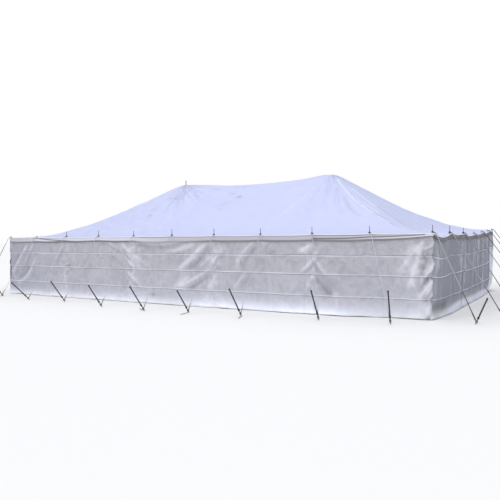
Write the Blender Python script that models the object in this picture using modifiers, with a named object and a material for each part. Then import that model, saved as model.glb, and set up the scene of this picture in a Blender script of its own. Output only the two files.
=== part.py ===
# Pole tent, 9 m by 15 m: one roof sheet over two centre poles, pulled down at 32 side poles by guys.
# Metres, +Z up. X runs along the tent, the front is at -Y, and the origin is on the ground in the middle.

import math

import bmesh
import bpy
from mathutils import Matrix, Vector

# Driving dimensions of the tent
LENGTH = 15.0
WIDTH = 9.0
BAY = 1.5
EAVES_HEIGHT = 2.0
PEAK_HEIGHT = 4.0
PEAK_LEFT_X = -2.9
PEAK_RIGHT_X = 3.2

# Roof sheet. Its edge sags between the poles of each side, and rises to one corner at the back.
ROOF_THICKNESS = 0.005
ROOF_STEEPNESS = 1.37
ROOF_EASE = 0.16
RIDGE_SAG = 0.15
EAVES_SAG = (0.03, 0.07, 0.03, 0.07)
EDGE_BAND = 0.12
CORNER_RISE = (0.0, 0.0, 0.15, 0.0)
CORNER_RISE_REACH = 4.5
PEAK_FLAT = 0.12
ROOF_RINGS = (0.0, 0.014, 0.12, 0.24, 0.37, 0.5, 0.63, 0.76, 0.88, 1.0)
END_BOW = 0.13

# Walls and valance, as distances in from the roof edge to their outer face
WALL_INSET = 0.012
WALL_THICKNESS = 0.005
WALL_ROWS = (0.0, 0.3, 0.6, 0.87, 1.0)
WALL_STRAIGHT = 0.25
WALL_SLOPE_POWER = 1.2
SHEET_CLEAR = 0.0008
VALANCE_INSET = 0.003
VALANCE_THICKNESS = 0.004
VALANCE_DROP = 0.165

# How far the foot of each wall stands out from the straight side line, and is tucked in at its two ends
HEM_BULGE = (0.16, 0.03, 0.16, 0.03)
HEM_TUCKS = ((-0.02, 0.25), (0.04, 0.04), (0.06, 0.06), (0.04, -0.02))
TUCK_START = 1.0
TUCK_RUN = 1.3
CORNER_ROUND = (0.15, 0.75, 0.4, 0.4)

# Poles
POLE_INSET = 0.06
POLE_TOP_REACH = 1.5
SIDE_POLE_RADIUS = 0.024
SPIKE_RADIUS = 0.008
SPIKE_ROOT = 0.05
CENTRE_POLE_RADIUS = 0.05
PEAK_PIN_RADIUS = 0.014
PEAK_PIN_RISE = 0.18
PEAK_PIN_ROOT = 0.1
EYELET_CLEAR = 0.003
PEAK_EYELET_CLEAR = 0.004
EYELET_DEPTH = 0.05
EAVES_ROPE_RADIUS = 0.006
EAVES_ROPE_DROP = 0.016

# Guys
GUY_RADIUS = 0.006
GUY_START = 0.014
GUY_OVER_EDGE = 0.03
LOOP_RADIUS = 0.022
LOOP_CLEAR = 0.0013
LOOP_HEIGHT = 0.03
PEG_RADIUS = 0.014
HITCH_HEIGHT = 0.05

# The guy of each pole: how far its spike stands over the roof edge, where the peg's foot is along the side
# and out from the roof edge, then how far the peg's top stands from its foot along, out and up
LONG_SIDE_GUYS = (
    (0.06, -1.45, 0.08, -0.45, 0.05, 0.62),
    (0.08, -0.75, 0.79, -0.30, 0.35, 0.62),
    (0.19, -0.40, 1.15, -0.18, 0.53, 0.59),
    (0.19, -0.37, 1.03, -0.15, 0.41, 0.65),
    (0.18, 0.12, 1.43, 0.04, 0.53, 0.65),
    (0.20, 0.29, 1.52, 0.13, 0.68, 0.70),
    (0.20, 0.08, 1.25, 0.03, 0.52, 0.61),
    (0.18, 0.15, 1.19, 0.08, 0.66, 0.72),
    (0.19, 0.60, 0.91, 0.0, 0.42, 0.72),
    (0.19, 0.74, 0.74, 0.0, 0.17, 0.75),
    (0.19, 0.86, -0.13, 0.25, 0.03, 0.58),
)
SHORT_SIDE_GUYS = (
    (0.19, -0.34, 1.20, -0.10, 0.50, 0.62),
    (0.15, -0.18, 1.22, -0.06, 0.52, 0.62),
    (0.07, 0.0, 1.30, 0.0, 0.52, 0.62),
    (0.06, -0.28, 1.50, -0.08, 0.55, 0.62),
    (0.06, 0.06, 1.54, 0.02, 0.12, 0.66),
)

# The gap that touching solids keep
GAP = 0.0003

# The four sides in order round the tent, seen from above against the clock from the front left corner
SIDE_NAMES = ("front", "right", "back", "left")
SIDE_RUN = (Vector((1, 0)), Vector((0, 1)), Vector((-1, 0)), Vector((0, -1)))
SIDE_OUT = (Vector((0, -1)), Vector((1, 0)), Vector((0, 1)), Vector((-1, 0)))
SIDE_HALF = (LENGTH / 2, WIDTH / 2, LENGTH / 2, WIDTH / 2)
SIDE_DISTANCE = (WIDTH / 2, LENGTH / 2, WIDTH / 2, LENGTH / 2)
SIDE_BOW = (0.0, END_BOW, 0.0, END_BOW)


def new_collection(name):
    collection = bpy.data.collections.new(name)
    bpy.context.scene.collection.children.link(collection)
    return collection


def new_material(name, color, roughness, metallic=0.0):
    material = bpy.data.materials.new(name)
    material.use_nodes = True
    shader = material.node_tree.nodes["Principled BSDF"]
    shader.inputs["Base Color"].default_value = (*color, 1.0)
    shader.inputs["Roughness"].default_value = roughness
    shader.inputs["Metallic"].default_value = metallic
    return material


def mesh_object(name, shape, collection, material=None):
    """Turns a bmesh into an object of the collection, with its faces pointing out."""
    bmesh.ops.recalc_face_normals(shape, faces=shape.faces)
    mesh = bpy.data.meshes.new(name)
    shape.to_mesh(mesh)
    shape.free()
    piece = bpy.data.objects.new(name, mesh)
    collection.objects.link(piece)
    if material:
        mesh.materials.append(material)
    return piece


def as_cutter(piece):
    piece.hide_render = True
    piece.display_type = "WIRE"
    return piece


def add_boolean(piece, operation, other):
    modifier = piece.modifiers.new(f"{operation.lower()} {other.name}", "BOOLEAN")
    modifier.operation = operation
    modifier.solver = "EXACT"
    modifier.object = other


def plan_point(side, along, distance):
    """A point in plan, given along a side and out from the tent's centre line."""
    return SIDE_RUN[side] * along + SIDE_OUT[side] * distance


def edge_point(side, along, inset=0.0):
    """The roof's edge in plan, or a line the given distance inside it, which keeps square corners."""
    half = SIDE_HALF[side]
    bow = SIDE_BOW[side] * (1 - (along / half) ** 2)
    along = max(inset - half, min(half - inset, along))
    return plan_point(side, along, SIDE_DISTANCE[side] + bow - inset)


def eaves_height(side, along):
    """The top of the roof's edge at a pole, which rises in a straight line to a corner that stands higher."""
    height = EAVES_HEIGHT
    for corner, to_corner in ((side, SIDE_HALF[side] + along), ((side + 1) % 4, SIDE_HALF[side] - along)):
        height += CORNER_RISE[corner] * max(0.0, 1 - abs(to_corner) / CORNER_RISE_REACH)
    return height


def edge_height(side, along):
    """The top of the roof's edge, which hangs a little half way between the poles."""
    bays = (along + SIDE_HALF[side]) / BAY
    return eaves_height(side, along) - EAVES_SAG[side] * 2 * abs(bays - round(bays))


def hem_distance(side, along):
    """How far out the foot of a wall stands: bulged in the middle of a side and tucked in by its ends."""
    half = SIDE_HALF[side]
    distance = SIDE_DISTANCE[side] + HEM_BULGE[side] * (1 - (along / half) ** 2)
    for tuck, to_corner in zip(HEM_TUCKS[side], (half + along, half - along)):
        step = max(0.0, min(1.0, (to_corner - TUCK_START) / TUCK_RUN))
        distance -= tuck * (1 - step * step * (3 - 2 * step))
    return distance


def hem_point(side, along):
    """The foot of a wall in plan. Each corner is rounded by a quadratic curve between its two sides."""
    half = SIDE_HALF[side]
    for corner, to_corner, next_side in (
        (side, half + along, (side - 1) % 4),
        ((side + 1) % 4, half - along, (side + 1) % 4),
    ):
        reach = CORNER_ROUND[corner]
        if to_corner >= reach:
            continue
        sign = 1 if next_side == (side + 1) % 4 else -1
        step = 0.5 * (1 - to_corner / reach)
        own = plan_point(side, sign * (half - reach), hem_distance(side, sign * (half - reach)))
        other_along = -sign * (SIDE_HALF[next_side] - reach)
        other = plan_point(next_side, other_along, hem_distance(next_side, other_along))
        square = plan_point(side, sign * hem_distance(next_side, -sign * SIDE_HALF[next_side]),
                            hem_distance(side, sign * half))
        return own * (1 - step) ** 2 + square * 2 * step * (1 - step) + other * step**2
    return plan_point(side, along, hem_distance(side, along))


def side_stations(side, extra=()):
    """Places along a side at each pole and half way between poles, with any extra ones."""
    half = SIDE_HALF[side]
    count = round(4 * half / BAY)
    places = [BAY / 2 * index - half for index in range(count + 1)]
    return sorted(places + list(extra))


def make_sheet(name, stations, rows, place, thickness, material, collection):
    """A grid of stations by rows, each point put in place by a formula, then given its thickness inwards."""
    shape = bmesh.new()
    bmesh.ops.create_grid(shape, x_segments=len(stations) - 1, y_segments=len(rows) - 1, size=0.5)
    for vertex in shape.verts:
        column = round((vertex.co.x + 0.5) * (len(stations) - 1))
        row = round((vertex.co.y + 0.5) * (len(rows) - 1))
        vertex.co = place(stations[column], rows[row])
    bmesh.ops.remove_doubles(shape, verts=shape.verts, dist=0.0001)
    bmesh.ops.dissolve_degenerate(shape, edges=shape.edges, dist=0.0001)
    piece = mesh_object(name, shape, collection, material)
    solidify = piece.modifiers.new("thickness", "SOLIDIFY")
    solidify.thickness = thickness
    solidify.offset = -1.0
    return piece


def roof_point(station, ring):
    """The roof's top surface. Lines fan out from the two peaks and run square from the ridge between them.

    Along a line the height falls as a straight slope that eases out to level at the edge band, which is flat.
    """
    side, along = station
    edge = edge_point(side, along)
    top = Vector((max(PEAK_LEFT_X, min(PEAK_RIGHT_X, edge.x)), 0.0))
    if SIDE_NAMES[side] in ("left", "right"):
        top.x = PEAK_RIGHT_X if SIDE_NAMES[side] == "right" else PEAK_LEFT_X
    between = (top.x - PEAK_LEFT_X - PEAK_FLAT) / (PEAK_RIGHT_X - PEAK_LEFT_X - 2 * PEAK_FLAT)
    between = max(0.0, min(1.0, between))
    ridge = PEAK_HEIGHT - RIDGE_SAG * 4 * between * (1 - between)
    height = edge_height(side, along)
    if ring == "edge":
        return Vector((edge.x, edge.y, height))
    rise = min(1.0, (1 - ring) / (1 - ROOF_RINGS[1]))
    height += (ridge - height) * (eased(rise) - eased(0.0)) / (eased(1.0) - eased(0.0))
    plan = top.lerp(edge_point(side, along, EDGE_BAND), ring)
    return Vector((plan.x, plan.y, height))


def eased(rise):
    """A straight slope that bends smoothly to level where it would pass below zero."""
    straight = 1 + ROOF_STEEPNESS * (rise - 1)
    return (straight + math.hypot(straight, ROOF_EASE)) / 2


def wall_point(station, row):
    """A wall's outer face: plumb under the roof edge, then running out or in to the hem at the ground."""
    side, along = station
    top_height = edge_height(side, along) - ROOF_THICKNESS - SHEET_CLEAR
    height = row * top_height
    reach = max(0.0, 1 - height / (top_height - WALL_STRAIGHT))
    plan = edge_point(side, along, WALL_INSET).lerp(hem_point(side, along), reach**WALL_SLOPE_POWER)
    return Vector((plan.x, plan.y, height))


def valance_point(station, row):
    side, along = station
    plan = edge_point(side, along, VALANCE_INSET)
    top_height = edge_height(side, along) - ROOF_THICKNESS - SHEET_CLEAR
    return Vector((plan.x, plan.y, top_height - VALANCE_DROP * (1 - row)))


def leaning_bar(name, foot, top, radius, collection, sides=8, material=None):
    """A round bar from foot to top whose two ends are cut level, and whose girth is true across its lean."""
    lean = Vector((top.x - foot.x, top.y - foot.y))
    rise = top.z - foot.z
    shape = bmesh.new()
    bmesh.ops.create_cone(shape, cap_ends=True, segments=sides, radius1=radius, radius2=radius, depth=rise)
    turn = Matrix.Rotation(math.atan2(lean.y, lean.x) if lean.length > 0 else 0.0, 4, "Z")
    stretch = Matrix.Diagonal((math.hypot(1, lean.length / rise), 1, 1, 1))
    for vertex in shape.verts:
        share = vertex.co.z / rise + 0.5
        girth = turn @ stretch @ Vector((vertex.co.x, vertex.co.y, 0.0))
        vertex.co = foot.lerp(top, share) + girth
    return mesh_object(name, shape, collection, material)


def rope_mesh(name, points, radius, collection, material=None):
    """A rope as a mesh: a straight-run curve with a round section and closed ends."""
    curve = bpy.data.curves.new(name, "CURVE")
    curve.dimensions = "3D"
    curve.bevel_depth = radius
    curve.bevel_resolution = 1
    curve.use_fill_caps = True
    spline = curve.splines.new("POLY")
    spline.points.add(len(points) - 1)
    for control, point in zip(spline.points, points):
        control.co = (*point, 1.0)
    guide = bpy.data.objects.new(f"{name} line", curve)
    collection.objects.link(guide)
    bpy.context.view_layer.update()
    evaluated = guide.evaluated_get(bpy.context.evaluated_depsgraph_get())
    shape = bmesh.new()
    mesh = bpy.data.meshes.new_from_object(evaluated)
    shape.from_mesh(mesh)
    bmesh.ops.remove_doubles(shape, verts=shape.verts, dist=0.00001)
    piece = mesh_object(name, shape, collection, material)
    bpy.data.objects.remove(guide)
    bpy.data.meshes.remove(mesh)
    return piece


def ring_mesh(name, inner, outer, height, collection):
    """A collar: a rectangle turned once round Z, with its middle at the origin."""
    shape = bmesh.new()
    corners = [(outer, height / 2), (outer, -height / 2), (inner, -height / 2), (inner, height / 2)]
    profile = [shape.verts.new((x, 0.0, z)) for x, z in corners]
    for start, end in zip(profile, profile[1:] + profile[:1]):
        shape.edges.new((start, end))
    mesh = bpy.data.meshes.new(name)
    shape.to_mesh(mesh)
    shape.free()
    piece = bpy.data.objects.new(name, mesh)
    collection.objects.link(piece)
    screw = piece.modifiers.new("turn", "SCREW")
    screw.steps = 8
    screw.render_steps = 8
    screw.use_merge_vertices = True
    screw.merge_threshold = 0.00001
    return piece


def pole_places(side):
    """The poles of one side. Both corner poles belong to the long sides."""
    half = SIDE_HALF[side]
    count = round(2 * half / BAY)
    first, last = (0, count) if SIDE_NAMES[side] in ("front", "back") else (1, count - 1)
    return [BAY * index - half for index in range(first, last + 1)]


def at_corner(side, along):
    return abs(abs(along) - SIDE_HALF[side]) < BAY / 4


def pole_top(side, along):
    """The top of a side pole, under the sheet, which falls away on both sides of the pole."""
    plan = edge_point(side, along, POLE_INSET)
    reach = POLE_TOP_REACH * SIDE_POLE_RADIUS
    lowest = min(edge_height(side, along - reach), edge_height(side, along + reach))
    if at_corner(side, along):
        next_side = (side + 1) % 4 if along > 0 else (side - 1) % 4
        corner = math.copysign(SIDE_HALF[next_side], -along)
        lowest = min(lowest, edge_height(next_side, corner - reach), edge_height(next_side, corner + reach))
    return Vector((plan.x, plan.y, lowest - ROOF_THICKNESS - GAP))


def pole_foot(side, along):
    """Under the pole's top, or further in where the wall is tucked in at the ground."""
    top = pole_top(side, along)
    hem = hem_point(side, along)
    inside = Vector((top.x, top.y))
    for axis in (0, 1):
        limit = abs(hem[axis]) - POLE_INSET
        if abs(abs(along) - SIDE_HALF[side]) < BAY / 2 or abs(SIDE_OUT[side][axis]) > 0.5:
            inside[axis] = math.copysign(min(abs(inside[axis]), limit), inside[axis])
    return Vector((inside.x, inside.y, 0.0))


def make_roof(collection, cutters, material):
    """The roof sheet, with a round eyelet for every spike and for the left peak's pin."""
    by_peaks = (PEAK_LEFT_X + PEAK_FLAT, PEAK_RIGHT_X - PEAK_FLAT)
    stations = []
    for side in range(4):
        extra = [x * SIDE_RUN[side].x for x in by_peaks] if SIDE_RUN[side].x else []
        stations += [(side, along) for along in side_stations(side, extra)[:-1]]
    stations.append(stations[0])
    rings = (*ROOF_RINGS, "edge")
    roof = make_sheet("roof_canopy", stations, rings, roof_point, ROOF_THICKNESS, material, collection)
    eyelets = bmesh.new()
    for side in range(4):
        for along in pole_places(side):
            place = Matrix.Translation(pole_top(side, along))
            bmesh.ops.create_cone(eyelets, cap_ends=True, segments=6, radius1=SPIKE_RADIUS + EYELET_CLEAR,
                                  radius2=SPIKE_RADIUS + EYELET_CLEAR, depth=EYELET_DEPTH, matrix=place)
    place = Matrix.Translation((PEAK_LEFT_X, 0.0, PEAK_HEIGHT))
    bmesh.ops.create_cone(eyelets, cap_ends=True, segments=6, radius1=PEAK_PIN_RADIUS + PEAK_EYELET_CLEAR,
                          radius2=PEAK_PIN_RADIUS + PEAK_EYELET_CLEAR, depth=EYELET_DEPTH, matrix=place)
    cutter = as_cutter(mesh_object("roof eyelets", eyelets, cutters))
    add_boolean(roof, "DIFFERENCE", cutter)


def make_valance(collection, material):
    """The canvas band sewn on under the roof's edge, right round the tent."""
    stations = [(side, along) for side in range(4) for along in side_stations(side)[:-1]]
    stations.append(stations[0])
    make_sheet("valance", stations, (0.0, 1.0), valance_point, VALANCE_THICKNESS, material, collection)


def make_wall(side, collection, material):
    """One curtain wall, which meets its neighbours at the corners with a narrow gap."""
    half = SIDE_HALF[side]
    clear = WALL_THICKNESS + GAP
    places = side_stations(side, (BAY / 4 - half, half - BAY / 4))
    if SIDE_NAMES[side] in ("left", "right"):
        places[0] += 2 * clear + WALL_INSET
        places[-1] -= 2 * clear + WALL_INSET
    stations = [(side, along) for along in places]
    make_sheet(f"wall_{SIDE_NAMES[side]}", stations, WALL_ROWS, wall_point, WALL_THICKNESS,
               material, collection)


def make_pole_row(side, guys, collection, cutters, material):
    """The side poles of one side, which the rope along the eaves joins at their tops."""
    lowered = Vector((0.0, 0.0, ROOF_THICKNESS + EAVES_ROPE_DROP))
    line = []
    for along in side_stations(side):
        if at_corner(side, along) and SIDE_NAMES[side] in ("left", "right"):
            continue
        plan = edge_point(side, along, POLE_INSET)
        line.append(Vector((plan.x, plan.y, edge_height(side, along))) - lowered)
    row = rope_mesh(f"pole_row_{SIDE_NAMES[side]}", line, EAVES_ROPE_RADIUS, collection, material)
    for number, (along, guy) in enumerate(zip(pole_places(side), guys), 1):
        top = pole_top(side, along)
        name = f"side pole {SIDE_NAMES[side]} {number}"
        pole = leaning_bar(name, pole_foot(side, along), top, SIDE_POLE_RADIUS, cutters)
        spike_foot = top - Vector((0.0, 0.0, SPIKE_ROOT))
        spike_top = Vector((top.x, top.y, eaves_height(side, along) + guy[0]))
        spike = leaning_bar(f"{name} spike", spike_foot, spike_top, SPIKE_RADIUS, cutters, 6)
        for part in (pole, spike):
            add_boolean(row, "UNION", as_cutter(part))


def make_guy(side, along, number, guy, collection, cutters, material):
    """One guy: a loop dropped over the spike, the rope out over the roof edge, and the leaning peg."""
    foot_along, foot_out, lean_along, lean_out, peg_height = guy[1:]
    name = f"guy_{SIDE_NAMES[side]}_{number:02d}"
    edge = edge_point(side, along)
    foot = edge + plan_point(side, foot_along, foot_out)
    peg_top = foot + plan_point(side, lean_along, lean_out)
    foot = Vector((foot.x, foot.y, 0.0))
    peg_top = Vector((peg_top.x, peg_top.y, peg_height))
    spike = pole_top(side, along)
    start = Vector((spike.x, spike.y, eaves_height(side, along) + GAP + LOOP_HEIGHT / 2))
    away = Vector((foot.x - spike.x, foot.y - spike.y, 0.0)).normalized()
    across = abs(away.to_2d().dot(SIDE_OUT[side]))
    if at_corner(side, along):
        across = max(abs(away.x), abs(away.y))
    over = start + away * (POLE_INSET / across + GUY_OVER_EDGE)
    hitch = foot.lerp(peg_top, HITCH_HEIGHT / peg_height)
    line = (start + away * GUY_START, over, hitch)
    rope = rope_mesh(name, line, GUY_RADIUS, collection, material)
    loop = ring_mesh(f"{name} loop", SPIKE_RADIUS + LOOP_CLEAR, LOOP_RADIUS, LOOP_HEIGHT, cutters)
    loop.location = start
    bar = leaning_bar(f"{name} peg", foot, peg_top, PEG_RADIUS, cutters, 6)
    for part in (loop, bar):
        add_boolean(rope, "UNION", as_cutter(part))


def make_centre_pole(name, x, pin_rise, collection, cutters, material):
    """A centre pole, with the pin that passes up through the roof where it has one."""
    top = Vector((x, 0.0, PEAK_HEIGHT - ROOF_THICKNESS - GAP))
    pole = leaning_bar(name, Vector((x, 0.0, 0.0)), top, CENTRE_POLE_RADIUS, collection, 12, material)
    if pin_rise:
        pin_foot = top - Vector((0.0, 0.0, PEAK_PIN_ROOT))
        pin_top = Vector((x, 0.0, PEAK_HEIGHT + pin_rise))
        pin = leaning_bar(f"{name} pin", pin_foot, pin_top, PEAK_PIN_RADIUS, cutters, 8)
        add_boolean(pole, "UNION", as_cutter(pin))


def main():
    for old in list(bpy.data.objects):
        bpy.data.objects.remove(old)
    tent = new_collection("pole_tent")
    cutters = new_collection("cutters")

    pvc = new_material("roof pvc", (0.74, 0.78, 0.90), 0.45)
    canvas = new_material("wall canvas", (0.62, 0.63, 0.66), 0.85)
    trim = new_material("valance canvas", (0.66, 0.60, 0.50), 0.85)
    steel = new_material("pole steel", (0.30, 0.30, 0.30), 0.5, 0.8)
    rope = new_material("guy rope", (0.55, 0.53, 0.47), 0.9)

    make_roof(tent, cutters, pvc)
    make_valance(tent, trim)
    for side in range(4):
        make_wall(side, tent, canvas)
        guys = LONG_SIDE_GUYS if SIDE_NAMES[side] in ("front", "back") else SHORT_SIDE_GUYS
        make_pole_row(side, guys, tent, cutters, steel)
        for number, (along, guy) in enumerate(zip(pole_places(side), guys), 1):
            make_guy(side, along, number, guy, tent, cutters, rope)
    make_centre_pole("centre_pole_left", PEAK_LEFT_X, PEAK_PIN_RISE, tent, cutters, steel)
    make_centre_pole("centre_pole_right", PEAK_RIGHT_X, 0.0, tent, cutters, steel)


main()
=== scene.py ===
import bmesh
import bpy
import numpy as np
from mathutils import Matrix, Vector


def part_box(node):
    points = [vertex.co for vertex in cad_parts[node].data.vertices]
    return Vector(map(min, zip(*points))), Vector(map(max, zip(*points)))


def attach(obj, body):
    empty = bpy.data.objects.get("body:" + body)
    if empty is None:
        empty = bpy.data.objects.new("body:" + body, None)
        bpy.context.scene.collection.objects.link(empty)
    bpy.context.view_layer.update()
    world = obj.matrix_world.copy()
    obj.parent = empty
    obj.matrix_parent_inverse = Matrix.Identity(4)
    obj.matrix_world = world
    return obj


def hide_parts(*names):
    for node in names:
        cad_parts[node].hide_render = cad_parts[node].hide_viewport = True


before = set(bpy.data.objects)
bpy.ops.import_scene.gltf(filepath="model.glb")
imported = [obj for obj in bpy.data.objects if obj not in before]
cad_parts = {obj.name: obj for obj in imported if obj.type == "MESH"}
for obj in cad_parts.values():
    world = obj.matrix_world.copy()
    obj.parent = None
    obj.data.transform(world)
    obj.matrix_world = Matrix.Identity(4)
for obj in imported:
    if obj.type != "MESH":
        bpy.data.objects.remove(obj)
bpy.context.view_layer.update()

# The viewpoint: a camera held at the height of the eaves, in front of the tent and past its right end,
# turned to the left along the front wall. Its lens covers the whole front and the first of the end wall.
camera_place = np.array((10.479, -17.38, 1.905))
camera_yaw, camera_pitch, camera_roll = np.radians((-31.153, -1.162, -0.429))
focal_length_px = 561.421
image_px = 500
sensor_mm = 36.0

forward = np.array((np.sin(camera_yaw) * np.cos(camera_pitch),
                    np.cos(camera_yaw) * np.cos(camera_pitch), np.sin(camera_pitch)))
level_right = np.array((np.cos(camera_yaw), -np.sin(camera_yaw), 0.0))
level_up = np.cross(level_right, forward)
camera_right = np.cos(camera_roll) * level_right + np.sin(camera_roll) * level_up
camera_up = np.cos(camera_roll) * level_up - np.sin(camera_roll) * level_right
camera_data = bpy.data.cameras.new("viewpoint")
camera_data.sensor_width = sensor_mm
camera_data.lens = focal_length_px / image_px * sensor_mm
camera = bpy.data.objects.new("viewpoint", camera_data)
camera_axes = np.column_stack((camera_right, camera_up, -forward, camera_place))
camera.matrix_world = Matrix(camera_axes.tolist() + [[0, 0, 0, 1]])
bpy.context.scene.collection.objects.link(camera)
bpy.context.scene.camera = camera


# The light: a high white overcast, brighter overhead than near the ground, with one wide soft source
# from above the front left, so that the front wall is fairly lit and the right end lies in shade. Two strips
# on the ground by the front wall stand for the light that bright ground throws up at the hem.
sky_overhead, sky_low, sky_seen, sky_full_at = 1.24, 0.235, 1.0, 0.9
key_strength, key_width_deg = 0.88, 50
key_from = np.array((-0.35, -0.88, 0.33))
strip_size, strip_power = (7.6, 0.28), 5.8
strip_places = ((-3.8, -4.84, 0.02), (3.9, -4.77, 0.02))
strip_turns = np.radians((-0.8, 1.7))


def linear(code):
    """An sRGB hex colour as the linear colour that the shader nodes take."""
    share = np.array([int(code[i:i + 2], 16) for i in (1, 3, 5)]) / 255
    return (*np.where(share <= 0.04045, share / 12.92, ((share + 0.055) / 1.055) ** 2.4), 1.0)


def feed(node, inputs):
    """Gives each socket of a node its value, or links it from a socket or from a node's first output in use."""
    for name, value in inputs.items():
        if isinstance(value, bpy.types.Node):
            value = next(socket for socket in value.outputs if socket.enabled)
        if isinstance(value, bpy.types.NodeSocket):
            node.id_data.links.new(value, node.inputs[name])
        else:
            node.inputs[name].default_value = value


def add_node(tree, kind, inputs=None, **settings):
    """Adds a node with its settings, and feeds its inputs."""
    made = tree.nodes.new("ShaderNode" + kind)
    for name, value in settings.items():
        setattr(made, name, value)
    feed(made, inputs or {})
    return made


world = bpy.data.worlds.new("soft overcast")
bpy.context.scene.world = world
bpy.context.scene.view_settings.view_transform = "Standard"
world.use_nodes = True
sky = world.node_tree
sky.nodes.clear()
direction = add_node(sky, "TexCoord").outputs["Generated"]
climb = add_node(sky, "SeparateXYZ", {"Vector": direction}).outputs["Z"]
glow = add_node(sky, "MapRange", {"Value": climb, "From Max": sky_full_at,
                                  "To Min": sky_low, "To Max": sky_overhead})
seen = add_node(sky, "LightPath").outputs["Is Camera Ray"]
level = add_node(sky, "Mix", {0: seen, 2: glow, 3: sky_seen}, data_type="FLOAT")
tint = add_node(sky, "Mix", {0: seen, 6: linear("#f4f7ff"), 7: linear("#ffffff")}, data_type="RGBA")
dome = add_node(sky, "Background", {"Color": tint, "Strength": level})
add_node(sky, "OutputWorld", {"Surface": dome})

key_data = bpy.data.lights.new("wide key", "SUN")
key_data.energy = key_strength
key_data.angle = np.radians(key_width_deg)
key = bpy.data.objects.new("wide key", key_data)
key_along = key_from / np.linalg.norm(key_from)
key_side = np.cross((0.0, 0.0, 1.0), key_along)
key_side /= np.linalg.norm(key_side)
key_axes = np.column_stack((key_side, np.cross(key_along, key_side), key_along, key_from))
key.matrix_world = Matrix(key_axes.tolist() + [[0, 0, 0, 1]])
bpy.context.scene.collection.objects.link(key)

for strip_place, strip_turn in zip(strip_places, strip_turns):
    strip_data = bpy.data.lights.new("low strip", "AREA")
    strip_data.shape = "RECTANGLE"
    strip_data.size, strip_data.size_y = strip_size
    strip_data.energy = strip_power
    strip_data.color = linear("#d2deff")[:3]
    strip = bpy.data.objects.new("low strip", strip_data)
    strip.matrix_world = (Matrix.Translation(strip_place) @ Matrix.Rotation(strip_turn, 4, "Z")
                          @ Matrix.Rotation(np.pi, 4, "X"))
    strip.visible_camera = False
    bpy.context.scene.collection.objects.link(strip)


# The floor: a plain pale sheet, matt, wide enough to reach the horizon of every view.
floor_width, floor_drop = 600.0, 0.004
bpy.ops.mesh.primitive_plane_add(size=floor_width, location=(0.0, 0.0, -floor_drop))
floor = bpy.context.object
floor.name = "floor"
floor_paint = bpy.data.materials.new("pale matt floor")
floor_paint.use_nodes = True
feed(floor_paint.node_tree.nodes["Principled BSDF"], {"Base Color": linear("#fffdf8"), "Roughness": 0.9})
floor.data.materials.append(floor_paint)


# The centre poles: two galvanised tubes of 100 mm, each in two lengths joined by a sleeve, with a foot plate
# and a domed head. They stand loose under the peaks, and the left one's pin comes up through the roof.
foot_plate_radius, foot_plate_height, plate_bevel = 0.11, 0.012, 0.003
sleeve_radius, sleeve_length, sleeve_bevel = 0.056, 0.3, 0.006
pin_radius, pin_tip = 0.014, 0.02
merge_reach = 0.00002
sharp_from = np.radians(35)
roof_high = np.array(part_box("roof_canopy")[1])
peak_height = roof_high[2]


def build(name, grids, material, closed=True, **layers):
    """Makes one object from grids of points, rows by columns, with a face between four neighbours.

    Each grid comes with the place of its points on the flat cloth, bar or rope in metres, which becomes the
    UV map. Points that share a place are merged, and layers are named values, an array for each grid.
    """
    faces, start = [], 0
    for points, _ in grids:
        rows, columns = points.shape[:2]
        number = start + np.arange(rows * columns).reshape(rows, columns)
        corners = (number[1:, :-1], number[1:, 1:], number[:-1, 1:], number[:-1, :-1])
        faces.append(np.stack(corners, -1).reshape(-1, 4))
        start += rows * columns
    faces = np.concatenate(faces)
    place = np.concatenate([points.reshape(-1, 3) for points, _ in grids])
    flat = np.concatenate([cut.reshape(-1, 2) for _, cut in grids])
    mesh = bpy.data.meshes.new(name)
    mesh.vertices.add(len(place))
    mesh.vertices.foreach_set("co", place.astype(np.float32).ravel())
    mesh.loops.add(faces.size)
    mesh.loops.foreach_set("vertex_index", faces.astype(np.int32).ravel())
    mesh.polygons.add(len(faces))
    mesh.polygons.foreach_set("loop_start", np.arange(0, faces.size, 4, dtype=np.int32))
    mesh.update(calc_edges=True)
    mesh.uv_layers.new(name="flat").data.foreach_set("uv", flat[faces.ravel()].astype(np.float32).ravel())
    for layer, values in layers.items():
        values = np.concatenate([np.ravel(value) for value in values]).astype(np.float32)
        mesh.attributes.new(layer, "FLOAT", "POINT").data.foreach_set("value", values)
    shape = bmesh.new()
    shape.from_mesh(mesh)
    bmesh.ops.remove_doubles(shape, verts=shape.verts, dist=merge_reach)
    if closed:
        bmesh.ops.recalc_face_normals(shape, faces=shape.faces)
    shape.to_mesh(mesh)
    shape.free()
    mesh.shade_smooth()
    mesh.materials.append(material)
    piece = bpy.data.objects.new(name, mesh)
    bpy.context.scene.collection.objects.link(piece)
    return piece


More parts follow.
